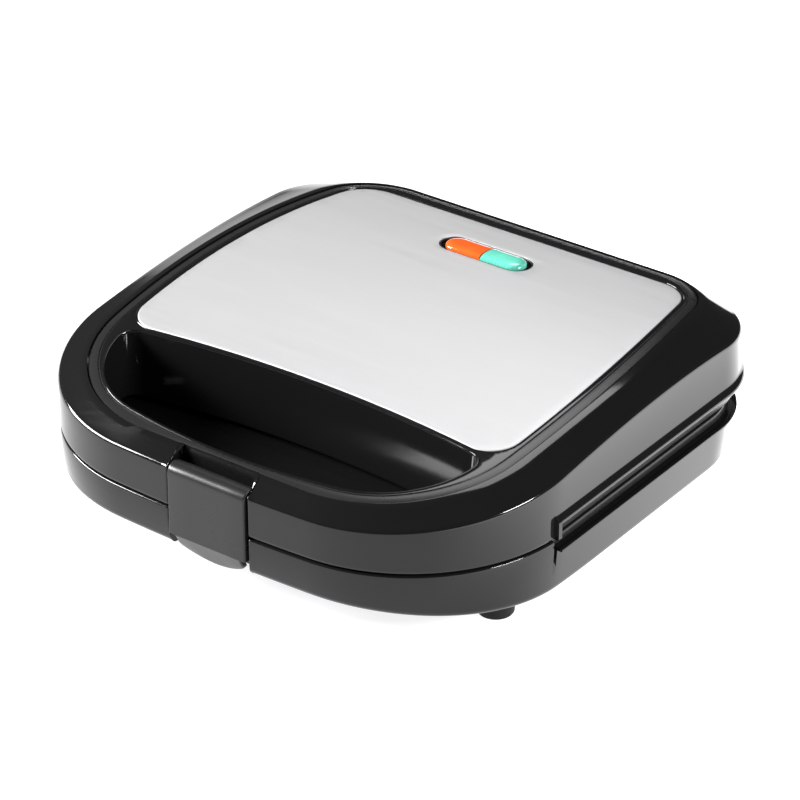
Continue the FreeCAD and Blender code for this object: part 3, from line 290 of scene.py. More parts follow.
# %% Rings, bridges and fills
class Skin:
    def __init__(self):
        self.points = []
        self.faces = []
        self.inks = []
        self.ink = 0

    def add(self, face):
        """Adds a face in the current ink, which is an index into the piece's materials."""
        self.faces.append(face)
        self.inks.append(self.ink)

    def ring(self, xy, z):
        """Adds a ring of points; z is one height or one for each point."""
        heights = np.broadcast_to(np.asarray(z, float), (len(xy),))
        first = len(self.points)
        self.points.extend((p[0], p[1], h) for p, h in zip(xy, heights))
        return list(range(first, len(self.points)))

    def bridge(self, lower, upper, flip=False):
        count = len(lower)
        for i in range(count):
            j = (i + 1) % count
            face = (lower[i], lower[j], upper[j], upper[i])
            self.add(face[::-1] if flip else face)

    def stack(self, rings, flip=False):
        for lower, upper in zip(rings, rings[1:]):
            self.bridge(lower, upper, flip)

    def crowned(self, points, normals, profile, room=1.0):
        """Rings offset from an outline, each at a height measured from the crowned top."""
        rings = []
        for distance, dz in profile:
            xy = points + normals * distance * room
            rings.append(self.ring(xy, crown(xy[:, 1]) + dz))
        return rings

    def solid(self, rings):
        """Stacks the rings and closes both ends."""
        self.stack(rings)
        self.fill(rings[0], up=False)
        self.fill(rings[-1])

    def fill(self, outer, holes=(), height=None, step=6.0, up=True):
        """Closes a ring, leaving its holes open; height gives z at a point (x, y)."""
        loops = [outer, *holes]
        index = [i for loop in loops for i in loop]
        flat = [Vector(self.points[i][:2]) for i in index]
        edges = []
        start = 0
        for loop in loops:
            edges += [(start + k, start + (k + 1) % len(loop)) for k in range(len(loop))]
            start += len(loop)
        polygons = [np.array([self.points[i][:2] for i in loop]) for loop in loops]
        extra = []
        if height is not None:
            low, high = polygons[0].min(0), polygons[0].max(0)
            grid_x = np.arange(low[0] + step / 2, high[0], step)
            grid_y = np.arange(low[1] + step / 2, high[1], step)
            mesh = np.stack(np.meshgrid(grid_x, grid_y), -1).reshape(-1, 2)
            keep = inside(mesh, polygons) & (gap_to(mesh, polygons) > step * 0.4)
            extra = mesh[keep]
            flat += [Vector(p) for p in extra]
        found = delaunay_2d_cdt(flat, edges, [], 0, 1e-5)
        coords, triangles, origins = found[0], found[2], found[3]
        first = len(self.points)
        self.points.extend((p[0], p[1], height(p[0], p[1])) for p in extra)
        place = []
        for origin in origins:
            k = origin[0]
            place.append(index[k] if k < len(index) else first + k - len(index))
        middles = np.array([[sum(coords[v][a] for v in t) / 3 for a in (0, 1)] for t in triangles])
        for triangle, keep in zip(triangles, inside(middles, polygons)):
            if keep:
                face = tuple(place[v] for v in triangle)
                self.add(face if up else face[::-1])

    def build(self, name, materials, smooth=32.0):
        mesh = bpy.data.meshes.new(name)
        mesh.from_pydata([Vector(p) * MM for p in self.points], [], self.faces)
        mesh.polygons.foreach_set("material_index", self.inks)
        return finish_mesh(name, mesh, materials, smooth)


def below_crown(depth):
    """A height for fills, at an even depth under the crowned top."""
    return lambda x, y: crown(y) - depth


def inside(points, polygons):
    """Which points lie inside the first polygon and outside the others."""
    result = np.zeros(len(points), bool)
    for polygon in polygons:
        a, b = polygon, np.roll(polygon, -1, 0)
        x, y = points[:, :1], points[:, 1:]
        spans = (a[:, 1] > y) != (b[:, 1] > y)
        rise = np.where(b[:, 1] == a[:, 1], 1e-9, b[:, 1] - a[:, 1])
        crossing = a[:, 0] + (y - a[:, 1]) * (b[:, 0] - a[:, 0]) / rise
        result ^= (spans & (x < crossing)).sum(1) % 2 == 1
    return result


def gap_to(points, polygons):
    """Distance from each point to the nearest outline point."""
    outline = np.concatenate(polygons)
    return np.sqrt(((points[:, None] - outline[None]) ** 2).sum(-1)).min(1)


def put(name, data):
    thing = bpy.data.objects.new(name, data)
    bpy.context.scene.collection.objects.link(thing)
    return thing


def finish_mesh(name, mesh, materials, smooth=32.0):
    """Merges doubled points, aims the faces outwards and shades by angle."""
    shape = bmesh.new()
    shape.from_mesh(mesh)
    bmesh.ops.remove_doubles(shape, verts=shape.verts, dist=2e-6)
    bmesh.ops.dissolve_degenerate(shape, edges=shape.edges, dist=1e-6)
    bmesh.ops.recalc_face_normals(shape, faces=shape.faces)
    limit = math.radians(smooth)
    for face in shape.faces:
        face.smooth = True
    for edge in shape.edges:
        edge.smooth = edge.is_manifold and edge.calc_face_angle(0.0) < limit
    shape.to_mesh(mesh)
    shape.free()
    for material in materials:
        mesh.materials.append(material)
    return put(name, mesh)


def register(piece, body, slot, *nodes):
    """Ties a finished piece to its CAD body and hides its CAD nodes; the slot argument is not used."""
    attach(piece, body)
    if nodes:
        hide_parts(*nodes)
    print(f"{piece.name}: {len(piece.data.polygons)} faces on {body}")


# %% [markdown]
# ## Shader maths
# A finish is written as an expression. A thin wrapper round a node socket adds the Math node
# that each operator stands for, so `0.1 + noise * 0.05` reads like arithmetic.

# %% The socket wrapper and a material maker
class Wire:
    """One output socket, with arithmetic."""

    def __init__(self, finish, socket):
        self.finish = finish
        self.socket = socket

    def _math(self, operation, a, b):
        node = self.finish.node("ShaderNodeMath", {"operation": operation}, {0: a, 1: b})
        return node.out("Value")

    def __add__(self, other):
        return self._math("ADD", self, other)

    def __radd__(self, other):
        return self._math("ADD", other, self)

    def __mul__(self, other):
        return self._math("MULTIPLY", self, other)

    def __rmul__(self, other):
        return self._math("MULTIPLY", other, self)

    def __gt__(self, other):
        return self._math("GREATER_THAN", self, other)


class Node:
    def __init__(self, finish, node):
        self.finish = finish
        self.node = node

    def out(self, name):
        return Wire(self.finish, self.node.outputs[name])


class Finish:
    """A material under construction."""

    def __init__(self, name, **constants):
        self.material = bpy.data.materials.new(name)
        self.material.use_nodes = True
        self.tree = self.material.node_tree
        self.shader = next(n for n in self.tree.nodes if n.type == "BSDF_PRINCIPLED")
        for socket, value in constants.items():
            self.shader.inputs[socket.replace("_", " ")].default_value = value

    def node(self, kind, settings=(), sockets=()):
        """Adds a node: settings first, then the values or links of its sockets."""
        node = self.tree.nodes.new(kind)
        for key, value in dict(settings).items():
            setattr(node, key, value)
        for key, value in dict(sockets).items():
            self.feed(node.inputs[key], value)
        return Node(self, node)

    def feed(self, socket, value):
        if isinstance(value, Wire):
            self.tree.links.new(value.socket, socket)
        else:
            socket.default_value = value

    def vary(self, **wires):
        for socket, value in wires.items():
            self.feed(self.shader.inputs[socket.replace("_", " ")], value)
        return self.material

    def place(self, stretch=(1, 1, 1)):
        """Object coordinates, stretched along an axis by a factor each."""
        coords = self.node("ShaderNodeTexCoord").out("Object")
        return self.node("ShaderNodeMapping", {}, {"Vector": coords, "Scale": stretch}).out("Vector")

    def noise(self, scale, stretch=(1, 1, 1), detail=3.0, roughness=0.5):
        sockets = {
            "Vector": self.place(stretch),
            "Scale": scale,
            "Detail": detail,
            "Roughness": roughness,
        }
        return self.node("ShaderNodeTexNoise", {}, sockets).out("Fac")

    def mix(self, share, first, second):
        sockets = {"Factor": share, 6: first, 7: second}
        node = self.node("ShaderNodeMix", {"data_type": "RGBA"}, sockets)
        return Wire(self, node.node.outputs[2])

    def bump(self, height, strength, distance):
        sockets = {"Height": height, "Strength": strength, "Distance": distance}
        return self.node("ShaderNodeBump", {}, sockets).out("Normal")


def grey(level):
    return (level, level, level * 1.01, 1.0)


# %% [markdown]
# ## Finishes of the casing
# Polished ABS is nearly black and mirrors the room. What tells it from paint is a very
# shallow orange peel and a few hair-fine wipe marks, so those go into roughness and bump.

# %% Piano black, satin black and brushed steel
def piano_black():
    finish = Finish("piano_black", IOR=1.45, Specular_IOR_Level=0.44)
    wipes = finish.noise(40.0, (1, 14, 3), 4.0)
    peel = finish.noise(260.0, detail=1.0)
    tone = finish.mix(finish.noise(9.0), grey(0.0045), grey(0.008))
    return finish.vary(
        Base_Color=tone,
        Roughness=0.055 + wipes * 0.06,
        Normal=finish.bump(peel, 0.02, 0.0002),
    )


def satin_black():
    finish = Finish("satin_black", IOR=1.45, Specular_IOR_Level=0.44)
    grain = finish.noise(1500.0, detail=2.0)
    tone = finish.mix(finish.noise(14.0), grey(0.010), grey(0.016))
    return finish.vary(
        Base_Color=tone,
        Roughness=0.24 + finish.noise(60.0) * 0.08,
        Normal=finish.bump(grain, 0.12, 0.0001),
    )


def brushed_steel():
    finish = Finish("brushed_steel", IOR=2.5, Metallic=1.0)
    hairlines = finish.noise(520.0, (0.035, 1, 1), 6.0, 0.65)
    clouds = finish.noise(7.0, (0.4, 1, 1), 2.0)
    tone = finish.mix(hairlines * 0.6 + clouds * 0.4, grey(0.57), grey(0.65))
    return finish.vary(
        Base_Color=tone,
        Roughness=0.50 + hairlines * 0.10,
        Normal=finish.bump(hairlines, 0.10, 0.00005),
    )


PIANO = piano_black()
SATIN = satin_black()
STEEL = brushed_steel()

# %% [markdown]
# ## Notched casing outlines
# The latch hangs in a notch at the middle of the front, in both mouldings. The notch is drawn
# into the outline itself, with small corner radii, so its edges catch the light as the real
# ones do. Each sample also remembers where its inner wall and its rim partner lie.

# %% The casing outline with its latch notch
NOTCH_HALF = latch_high[0] + 0.75
NOTCH_BACK = -FRONT + 9.4
NOTCH_EDGE = 0.8
NOTCH_ROOT = 0.6
NOTCH_FILLET = 0.5
FRONT_DROP = 0.25
EDGE_RADIUS = 2.3
BAND_FRONT = -46.0
BAND_END = 2.0
BAND_MARKS = (BAND_FRONT - BAND_END, BAND_FRONT)
STEP_GAP = 1e-5
WALL = 4.0
THIN_WALL = 1.9


class Station:
    """One sample of a casing outline."""

    def __init__(self, point, normal, rim, share, inner, kind, edge):
        self.point = point
        self.normal = normal
        self.rim = rim
        self.share = share
        self.inner = inner
        self.kind = kind
        self.edge = edge

    def out(self, distance):
        return (
            self.point[0] + self.normal[0] * distance,
            self.point[1] + self.normal[1] * distance,
        )

    def mirrored(self):
        flipped = [(-p[0], p[1]) for p in (self.point, self.normal, self.rim, self.inner)]
        point, normal, rim, inner = flipped
        return Station(point, normal, rim, self.share, inner, self.kind, self.edge)


def band_kind(y):
    if y > BAND_FRONT:
        return "band"
    if y > BAND_FRONT - BAND_END:
        return "end"
    return "plain"


def notch_stations():
    """Half of the notch, from the back wall's middle out to the front bow."""
    slope_depth = -RIM_FRONT + FRONT
    wall_y = -FRONT + FRONT_DROP
    inner_x = NOTCH_HALF + THIN_WALL
    root = arc((NOTCH_HALF - NOTCH_ROOT, NOTCH_BACK - NOTCH_ROOT), NOTCH_ROOT, 90, 0)
    edge = arc((NOTCH_HALF + NOTCH_EDGE, wall_y + NOTCH_EDGE), NOTCH_EDGE, 180, 270)
    found = []

    def add(point, normal, inner):
        share = min(max((-RIM_FRONT - point[1]) / slope_depth, 0.02), 1.0)
        rim = (min(NOTCH_HALF, point[0]), -RIM_FRONT)
        found.append(Station(point, normal, rim, share, inner, "notch", NOTCH_FILLET))

    for i in range(5):
        x = (NOTCH_HALF - NOTCH_ROOT) * i / 4
        add((x, NOTCH_BACK), (0, -1), (x, NOTCH_BACK + THIN_WALL))
    for i in range(1, 4):
        point, out = root(i / 4)
        add(point, (-out[0], -out[1]), (inner_x, NOTCH_BACK + THIN_WALL))
    straight = (NOTCH_BACK - NOTCH_ROOT, wall_y + NOTCH_EDGE)
    for i in range(7):
        y = straight[0] + (straight[1] - straight[0]) * i / 6
        add((NOTCH_HALF, y), (-1, 0), (inner_x, max(y, -FRONT + WALL)))
    for i in range(1, 6):
        point, out = edge(i / 6)
        add(point, out, (inner_x, -FRONT + WALL))
    return found


def casing_stations(rear):
    """Stations of a whole casing, counter-clockwise from the notch's middle."""
    half = notch_stations()
    body = body_segments(rear)
    rim = rim_segments()
    skip = (NOTCH_HALF + NOTCH_EDGE * 1.5) / body[0](1.0)[0][0]
    counts = (12, 40, 34, 22, 30)
    for k, count in enumerate(counts):
        shares = [i / count for i in range(count)]
        if k == 0:
            shares = [skip + (1 - skip) * i / count for i in range(count)]
        if k == 4:
            shares = [i / (2 * count) for i in range(count + 1)]
        if k == 2:
            start, end = body[2](0)[0][1], body[2](1)[0][1]
            marks = [(y - start) / (end - start) for y in BAND_MARKS]
            shares = sorted(shares + [m + s for m in marks if m > 0 for s in (-STEP_GAP, STEP_GAP)])
        if k == 1:
            shares = sorted(shares + corner_marks(body[1]))
        for share in shares:
            point, normal = body[k](share)
            partner, _ = rim[k](share)
            inner = (point[0] - normal[0] * WALL, point[1] - normal[1] * WALL)
            if k == 0:
                inner = (max(inner[0], NOTCH_HALF + THIN_WALL + 0.001 * len(half)), inner[1])
            half.append(Station(point, normal, partner, 1.0, inner, band_kind(point[1]), EDGE_RADIUS))
    return half + [s.mirrored() for s in reversed(half[1:-1])]


def corner_marks(corner):
    """Shares of the front corner at which the band's end rib starts and stops."""
    marks = []
    for y in BAND_MARKS:
        low, high = 0.0, 1.0
        for _ in range(40):
            middle = (low + high) / 2
            if corner(middle)[0][1] < y:
                low = middle
            else:
                high = middle
        marks += [low - STEP_GAP, low + STEP_GAP]
    return marks


def columns(skin, rows):
    """Turns one list of (xy, z) per station into rings, one ring per row."""
    rings = []
    for r in range(len(rows[0])):
        xy = [row[r][0] for row in rows]
        z = [row[r][1] for row in rows]
        rings.append(skin.ring(xy, z))
    return rings


lid_stations = casing_stations(LID_REAR)
base_stations = casing_stations(BASE_REAR)
print("stations:", len(lid_stations), len(base_stations))

# %% [markdown]
# ## The lid shell
# The shell runs from a groove round the satin frame, down a straight shoulder, over a rounded
# edge and down the wall. Behind the handle the wall grows a drooping lip over a shadow band.
# The three wall profiles have equal point counts, so they can sit side by side.

# %% Lid shell profile and mesh
LIP_PROFILES = {
    "plain": [(0, 43.4), (0, 42.5), (0, 41.6), (0, 40.6), (0, 39.8), (0, 39.2), (0, 38),
              (0, 37), (0, 34), (0, 33.3), (-0.25, 32.75), (-0.8, 32.5)],
    "end": [(0, 43.4), (0.5, 42.4), (1.3, 41.5), (1.95, 40.7), (LIP, 39.9), (LIP, 39.2), (LIP, 38),
            (LIP, 37), (LIP, 34), (LIP, 33.3), (LIP - 0.2, 32.8), (LIP - 0.6, 32.5)],
    "band": [(0, 43.4), (0.5, 42.4), (1.3, 41.6), (1.95, 40.9), (LIP, 40.1), (LIP - 0.1, 39.5),
             (LIP - 0.5, 39.1), (-1.7, 39.0), (-2.0, 38.7), (-2.0, 33.2), (-2.2, 32.7), (-2.6, 32.5)],
}
LIP_PROFILES["notch"] = LIP_PROFILES["plain"]
EDGE_STEPS = 6
GROOVE = 2.4
GROOVE_LIP = 0.30
LID_SKIN = 4.4
LID_RECESS_ROWS = (20, 21, 22)


def ink_recess(skin, stations, rows):
    """Gives the recess behind the band its satin finish, on the rows that stack made first."""
    count = len(stations)
    for i in range(count):
        if stations[i].kind == stations[(i + 1) % count].kind == "band":
            for row in rows:
                skin.inks[row * count + i] = 1


def lid_column(s):
    """Points of the lid shell at one station, from the groove out, down and back inside."""
    rim_z = crown(s.rim[1])
    width = max(math.hypot(s.point[0] - s.rim[0], s.point[1] - s.rim[1]), 0.05)
    top = crown(s.point[1]) - DROP * s.share
    rise = (rim_z - top) / width
    lean = math.atan(min(rise, 1.2))
    radius = min(s.edge, width * 0.6)
    drop = radius * math.tan((math.pi / 2 - lean) / 2)
    column = [(s.rim, rim_z - GROOVE), (s.rim, rim_z - GROOVE_LIP)]
    slope_end = (-radius + radius * math.sin(lean), top - drop + radius * math.cos(lean))
    end_xy = s.out(slope_end[0])
    for share in (0.045, 0.3, 0.6, 0.85):
        xy = tuple(a + (b - a) * share for a, b in zip(s.rim, end_xy))
        z = rim_z - 0.02 + (slope_end[1] - rim_z) * share
        column.append((xy, z))
    for i in range(EDGE_STEPS + 1):
        angle = (math.pi / 2 - lean) * (1 - i / EDGE_STEPS)
        xy = s.out(-radius + radius * math.cos(angle))
        column.append((xy, top - drop + radius * math.sin(angle)))
    for distance, z in LIP_PROFILES[s.kind]:
        column.append((s.out(distance), z))
    column.append((s.inner, LID_LOW))
    column.append((s.inner, min(top - 4.0, rim_z - 8.0)))
    tuck = (s.rim[0] * 0.985, s.rim[1] * 0.985 + 0.15)
    column.append((tuck, rim_z - LID_SKIN))
    column.append((tuck, rim_z - GROOVE))
    return column


def make_lid_shell():
    skin = Skin()
    rings = columns(skin, [lid_column(s) for s in lid_stations])
    skin.stack(rings, flip=True)
    ink_recess(skin, lid_stations, LID_RECESS_ROWS)
    skin.bridge(rings[-1], rings[0], flip=True)
    return skin.build("lid_shell", (PIANO, SATIN), 40.0)


register(make_lid_shell(), "lid", "black_shell", "lid_housing")

# %% [markdown]
# ## The top frame and finger well
# The frame is one satin moulding with three jobs: its sloping margin closes the groove round
# the lid, a thin raised lip seats the steel plate, and the finger well hangs from it as a
# deep wall. Rings make each margin and one crowned fill joins them.

# %% Top frame mesh
MARGIN = [(-0.45, -2.2), (-0.45, -1.15), (-0.65, -0.85), (-1.4, -0.62), (-2.6, -0.36), (-4.0, -0.14),
          (-4.35, -0.16), (-4.5, -0.5), (-4.75, -0.5), (-4.95, -0.06), (-5.2, 0.0)]
STEEL_LIP = [(1.0, 0.0), (0.85, 0.14), (0.6, 0.14), (0.45, -0.1), (0.4, -1.05)]
WELL_LIP = [(1.35, 0.0), (1.1, 0.22), (0.75, 0.32), (0.35, 0.22), (0.08, -0.15), (0.0, -0.8)]
WELL_HEM = [(0.0, 1.0), (0.3, 0.3), (0.9, 0.0), (1.8, 0.0)]
FRAME_SKIN = 2.2
SEAT_DEPTH = 1.05


def margin_room():
    """Share of the full margin that fits between the rim and the well, at each rim sample."""
    full = -MARGIN[-1][0]
    gap = gap_to(rim_points, [well_points]) - WELL_LIP[0][0] - 0.35
    return np.clip(gap / full, 0.3, 1.0)[:, None]


def make_top_frame():
    skin = Skin()
    rings = skin.crowned(rim_points, rim_normals, MARGIN, margin_room())
    skin.stack(rings)
    skin.ink = 1
    steel_rings = skin.crowned(steel_points, steel_normals, STEEL_LIP)
    skin.stack(steel_rings)
    well_rings = skin.crowned(well_points, well_normals, WELL_LIP)
    for distance, rise in WELL_HEM:
        well_rings.append(skin.ring(well_points + well_normals * distance, LID_LOW + rise))
    well_rings += skin.crowned(well_points, well_normals, [(WELL_HEM[-1][0], -FRAME_SKIN)])
    skin.stack(well_rings)
    skin.fill(rings[-1], (steel_rings[0], well_rings[0]), below_crown(0))
    skin.fill(steel_rings[-1], (), below_crown(SEAT_DEPTH), 12.0)
    skin.fill(rings[0], (well_rings[-1],), below_crown(FRAME_SKIN), 14.0, up=False)
    return skin.build("top_frame_moulding", (SATIN, PIANO), 34.0)


register(make_top_frame(), "lid", "black_satin", "top_frame")

# %% [markdown]
# ## The steel plate
# A pressed plate of 0.8 mm steel follows the crown. Its edge is rolled over by less than half
# a millimetre, which is what draws the bright line round it.

# %% Steel plate mesh
WINDOW_X = (bezel_low[0] + bezel_high[0]) / 2
WINDOW_Y = (bezel_low[1] + bezel_high[1]) / 2
WINDOW_HALF = (bezel_high[0] - bezel_low[0]) / 2
WINDOW_RADIUS = (bezel_high[1] - bezel_low[1]) / 2
STEEL_SKIN = 0.78
STEEL_SINK = 0.02
EDGE_ROLL = [(-0.55, 0.0), (-0.28, -0.06), (-0.08, -0.2), (0.0, -0.42), (0.0, -STEEL_SKIN)]


def make_steel_plate():
    skin = Skin()
    hole, hole_normals = slot_outline(WINDOW_X, WINDOW_Y, WINDOW_HALF + 0.1, WINDOW_RADIUS + 0.1, 24)
    outer_profile = [(distance, dz - STEEL_SINK) for distance, dz in EDGE_ROLL]
    hole_profile = [(-distance * 0.2, dz * 0.3 - STEEL_SINK) for distance, dz in EDGE_ROLL]
    outer_rings = skin.crowned(steel_points, steel_normals, outer_profile)
    hole_rings = skin.crowned(hole, hole_normals, hole_profile)
    skin.stack(outer_rings)
    skin.stack(hole_rings)
    under = below_crown(STEEL_SINK + STEEL_SKIN)
    skin.fill(outer_rings[0], (hole_rings[0],), below_crown(STEEL_SINK), 5.0)
    skin.fill(outer_rings[-1], (hole_rings[-1],), under, 10.0, up=False)
    return skin.build("steel_plate", (STEEL,), 30.0)


register(make_steel_plate(), "lid", "brushed_plate", "steel_top_plate")

# %% [markdown]
# ## Lamps
# Two moulded lenses stand in a black tray: red for power, green for ready. They are tinted
# acrylic over a neon glow, so the finish mixes a deep colour with a little emission, and fine
# ribs on the underside make the colour uneven.

# %% Tray, lenses and their finishes
def tinted_acrylic(name, dark, light, glow):
    finish = Finish(
        name, IOR=1.49, Roughness=0.06, Coat_Weight=0.6, Coat_Roughness=0.03, Emission_Strength=glow
    )
    ribs = finish.node(
        "ShaderNodeTexWave",
        {"bands_direction": "X"},
        {"Vector": finish.place(), "Scale": 190.0, "Distortion": 1.2},
    ).out("Fac")
    cloud = finish.noise(90.0)
    tone = finish.mix(ribs * 0.15 + cloud * 0.85, dark, light)
    return finish.vary(Base_Color=tone, Emission_Color=tone, Normal=finish.bump(cloud, 0.25, 0.0003))


def moulded_black():
    finish = Finish("moulded_black", IOR=1.5)
    tone = finish.mix(finish.noise(30.0), grey(0.008), grey(0.014))
    speckle = finish.noise(900.0, detail=2.0)
    return finish.vary(
        Base_Color=tone, Roughness=0.38 + speckle * 0.1, Normal=finish.bump(speckle, 0.2, 0.0001)
    )


RED = tinted_acrylic("red_acrylic", (0.55, 0.045, 0.006, 1), (0.85, 0.13, 0.02, 1), 0.18)
GREEN = tinted_acrylic("green_acrylic", (0.045, 0.30, 0.22, 1), (0.16, 0.62, 0.48, 1), 0.10)
MOULDED = moulded_black()
TRAY_DEPTH = 2.9
LENS_HALF = 19.9
LENS_RADIUS = 5.7
LENS_DOME = [(0.0, -TRAY_DEPTH), (0.0, -0.3), (0.25, 0.35), (0.8, 0.85), (1.7, 1.2), (2.9, 1.42),
             (4.4, 1.5)]
TRAY_EDGE = [(0.0, -4.5), (0.0, -0.35), (-0.15, -0.15), (-0.5, -0.15), (-0.7, -0.4),
             (-0.8, -TRAY_DEPTH + 0.4), (-1.2, -TRAY_DEPTH)]


def make_tray():
    skin = Skin()
    points, normals = slot_outline(WINDOW_X, WINDOW_Y, WINDOW_HALF, WINDOW_RADIUS, 24)
    skin.solid(skin.crowned(points, normals, TRAY_EDGE))
    return skin.build("lamp_tray", (MOULDED,), 30.0)


def make_lens(name, sign, material):
    """Half of a domed pill, flat where it meets its partner."""
    skin = Skin()
    split = WINDOW_X + 0.5 + 0.12 * sign
    end = WINDOW_X + (LENS_HALF - LENS_RADIUS) * sign
    count = 20
    rings = []
    for inset, dz in LENS_DOME:
        radius = LENS_RADIUS - inset
        face_inset = 0.0 if dz < 0.3 else min(inset, 0.35)
        xy = [(split + face_inset * sign, WINDOW_Y - radius)]
        for i in range(count + 1):
            angle = math.radians(-90 + 180 * i / count)
            xy.append((end + radius * math.cos(angle) * sign, WINDOW_Y + radius * math.sin(angle)))
        xy.append((split + face_inset * sign, WINDOW_Y + radius))
        rings.append(skin.ring(xy, [crown(p[1]) + dz for p in xy]))
    skin.solid(rings)
    return skin.build(name, (material,), 50.0)


register(make_tray(), "lid", "black_matt", "lamp_bezel")
register(make_lens("red_lens_dome", -1, RED), "lid", "red_lens", "red_lens")
register(make_lens("green_lens_dome", 1, GREEN), "lid", "green_lens", "green_lens")

# %% [markdown]
# ## The base tub
# The base is built as the lid is, from the deck's edge over the rim and down the wall, with a
# thin flange under the shadow band, a slight draft, and a large radius into the underside.

# %% Base tub mesh
FLANGE = 2.5
FLANGE_TOP = 27.8
FLANGE_LOW = 26.4
DRAFT = 1.8
DECK = BASE_TOP - 2.5
DECK_SKIN = 2.2
BELLY_RADIUS = 3.6
TUB_PROFILES = {
    "plain": [(-0.9, 31.5), (-0.56, 31.43), (-0.26, 31.24), (-0.07, 30.94), (0, 30.6), (0, 28.0),
              (0, FLANGE_TOP), (0, 27.4), (0, 26.9), (0, 26.6), (0, FLANGE_LOW)],
    "end": [(-2.9, 31.5), (-2.56, 31.43), (-2.26, 31.24), (-2.07, 30.94), (-2.0, 30.6), (-2.0, 28.0),
            (-2.0, FLANGE_TOP), (-2.0, 27.4), (-2.0, 26.9), (-2.0, 26.6), (-2.0, 23.8)],
    "band": [(-2.9, 31.5), (-2.56, 31.43), (-2.26, 31.24), (-2.07, 30.94), (-2.0, 30.6), (-1.9, 28.0),
             (FLANGE - 0.3, FLANGE_TOP), (FLANGE, 27.5), (FLANGE, 26.8), (FLANGE - 0.3, 26.45),
             (0, FLANGE_LOW)],
}
TUB_PROFILES["notch"] = TUB_PROFILES["plain"]
TUB_PROFILES["tail"] = [(min(d, 0.0), z) for d, z in TUB_PROFILES["band"]]
FLANGE_STOP = 98.0
WALL_START = 23.7
TUB_SKIN = 2.0
OPENING_LEDGE = 4.0
BELLY_STEPS = 6
BASE_RECESS_ROWS = (5, 6, 7)


def tub_column(s):
    """Points of the base at one station, from the deck out, down and under."""
    kind = "tail" if s.kind == "band" and s.point[1] > FLANGE_STOP else s.kind
    column = [(s.inner, DECK), (s.inner, BASE_TOP - 0.3)]
    lip = (s.inner[0] * 0.998 + s.point[0] * 0.002, s.inner[1] * 0.998 + s.point[1] * 0.002)
    column.append((lip, BASE_TOP))
    for distance, z in TUB_PROFILES[kind]:
        column.append((s.out(distance), z))
    belly = keel(s.point[1]) + BELLY_RADIUS
    setback = DRAFT * (FLANGE_LOW - belly) / (FLANGE_LOW - FOOT_TOP)
    for part in (0.34, 0.67):
        column.append((tub_point(s, setback * part), WALL_START + (belly - WALL_START) * part))
    for i in range(BELLY_STEPS + 1):
        angle = math.pi / 2 * i / BELLY_STEPS
        xy = tub_point(s, setback + BELLY_RADIUS * (1 - math.cos(angle)))
        column.append((xy, belly - BELLY_RADIUS * math.sin(angle)))
    return column


def tub_point(s, setback):
    """A point set back from the wall; the notch is cut straight down through the front."""
    if s.kind == "notch":
        return s.point[0], max(s.point[1], FRONT_DROP - FRONT + setback)
    return s.out(-setback)


def rounded_rectangle(low, high, corner, count=10):
    segments = [
        line((low[0] + corner, low[1]), (high[0] - corner, low[1])),
        arc((high[0] - corner, low[1] + corner), corner, -90, 0),
        line((high[0], low[1] + corner), (high[0], high[1] - corner)),
        arc((high[0] - corner, high[1] - corner), corner, 0, 90),
        line((high[0] - corner, high[1]), (low[0] + corner, high[1])),
        arc((low[0] + corner, high[1] - corner), corner, 90, 180),
        line((low[0], high[1] - corner), (low[0], low[1] + corner)),
        arc((low[0] + corner, low[1] + corner), corner, 180, 270),
    ]
    return sample(segments, (4, count) * 4)


def make_base_tub():
    skin = Skin()
    rings = columns(skin, [tub_column(s) for s in base_stations])
    skin.stack(rings, flip=True)
    ink_recess(skin, base_stations, BASE_RECESS_ROWS)
    low = [v + OPENING_LEDGE for v in plate_low[:2]]
    high = [v - OPENING_LEDGE for v in plate_high[:2]]
    opening, _ = rounded_rectangle(low, high, 30.0)
    opening_top = skin.ring(opening, DECK)
    opening_low = skin.ring(opening, DECK - DECK_SKIN)
    skin.bridge(opening_top, opening_low)
    inner = [s.inner for s in base_stations]
    inner_top = skin.ring(inner, DECK - DECK_SKIN)
    inner_low = skin.ring(inner, [keel(p[1]) + TUB_SKIN for p in inner])
    skin.bridge(inner_top, inner_low)
    skin.fill(rings[0], (opening_top,), lambda x, y: DECK, 16.0)
    skin.fill(inner_top, (opening_low,), None, up=False)
    skin.fill(inner_low, (), lambda x, y: keel(y) + TUB_SKIN, 9.0)
    skin.fill(rings[-1], (), lambda x, y: keel(y), 9.0, up=False)
    return skin.build("base_tub", (PIANO, SATIN), 40.0)


register(make_base_tub(), "base", "black_shell", "base_housing")

# %% [markdown]
# ## The latch
# The clip is one rounded strip: it curls back over its pin at the top and ends in a rounded
# thumb tab that tucks in under a crease. Cross-sections stacked up its height give all of it.

# %% Latch mesh
LATCH_FACE = latch_low[1]
LATCH_THICK = 3.2
LATCH_FOOT = 20.6
TAB_LOW = latch_low[2]
TAB_TUCK = 5.3
TAB_THINNING = 0.5
TAB_ROUND = 28.2
TAB_HALF = 16.5
PIN_Y = -113.6
PIN_Z = 47.6
BARREL = 4.4
HOOK_HALF = 10.0
HOOK_Y = -111.4
HOOK_PROFILE = ((0.4, 22.2), (0.0, 22.6), (0.0, 24.4), (0.4, 24.8))


def slab_section(half, front, back, corner):
    """A rounded rectangle in plan, counter-clockwise."""
    corner = min(corner, (back - front) * 0.45, half * 0.9)
    points, _ = rounded_rectangle((-half, front), (half, back), corner, 6)
    return points


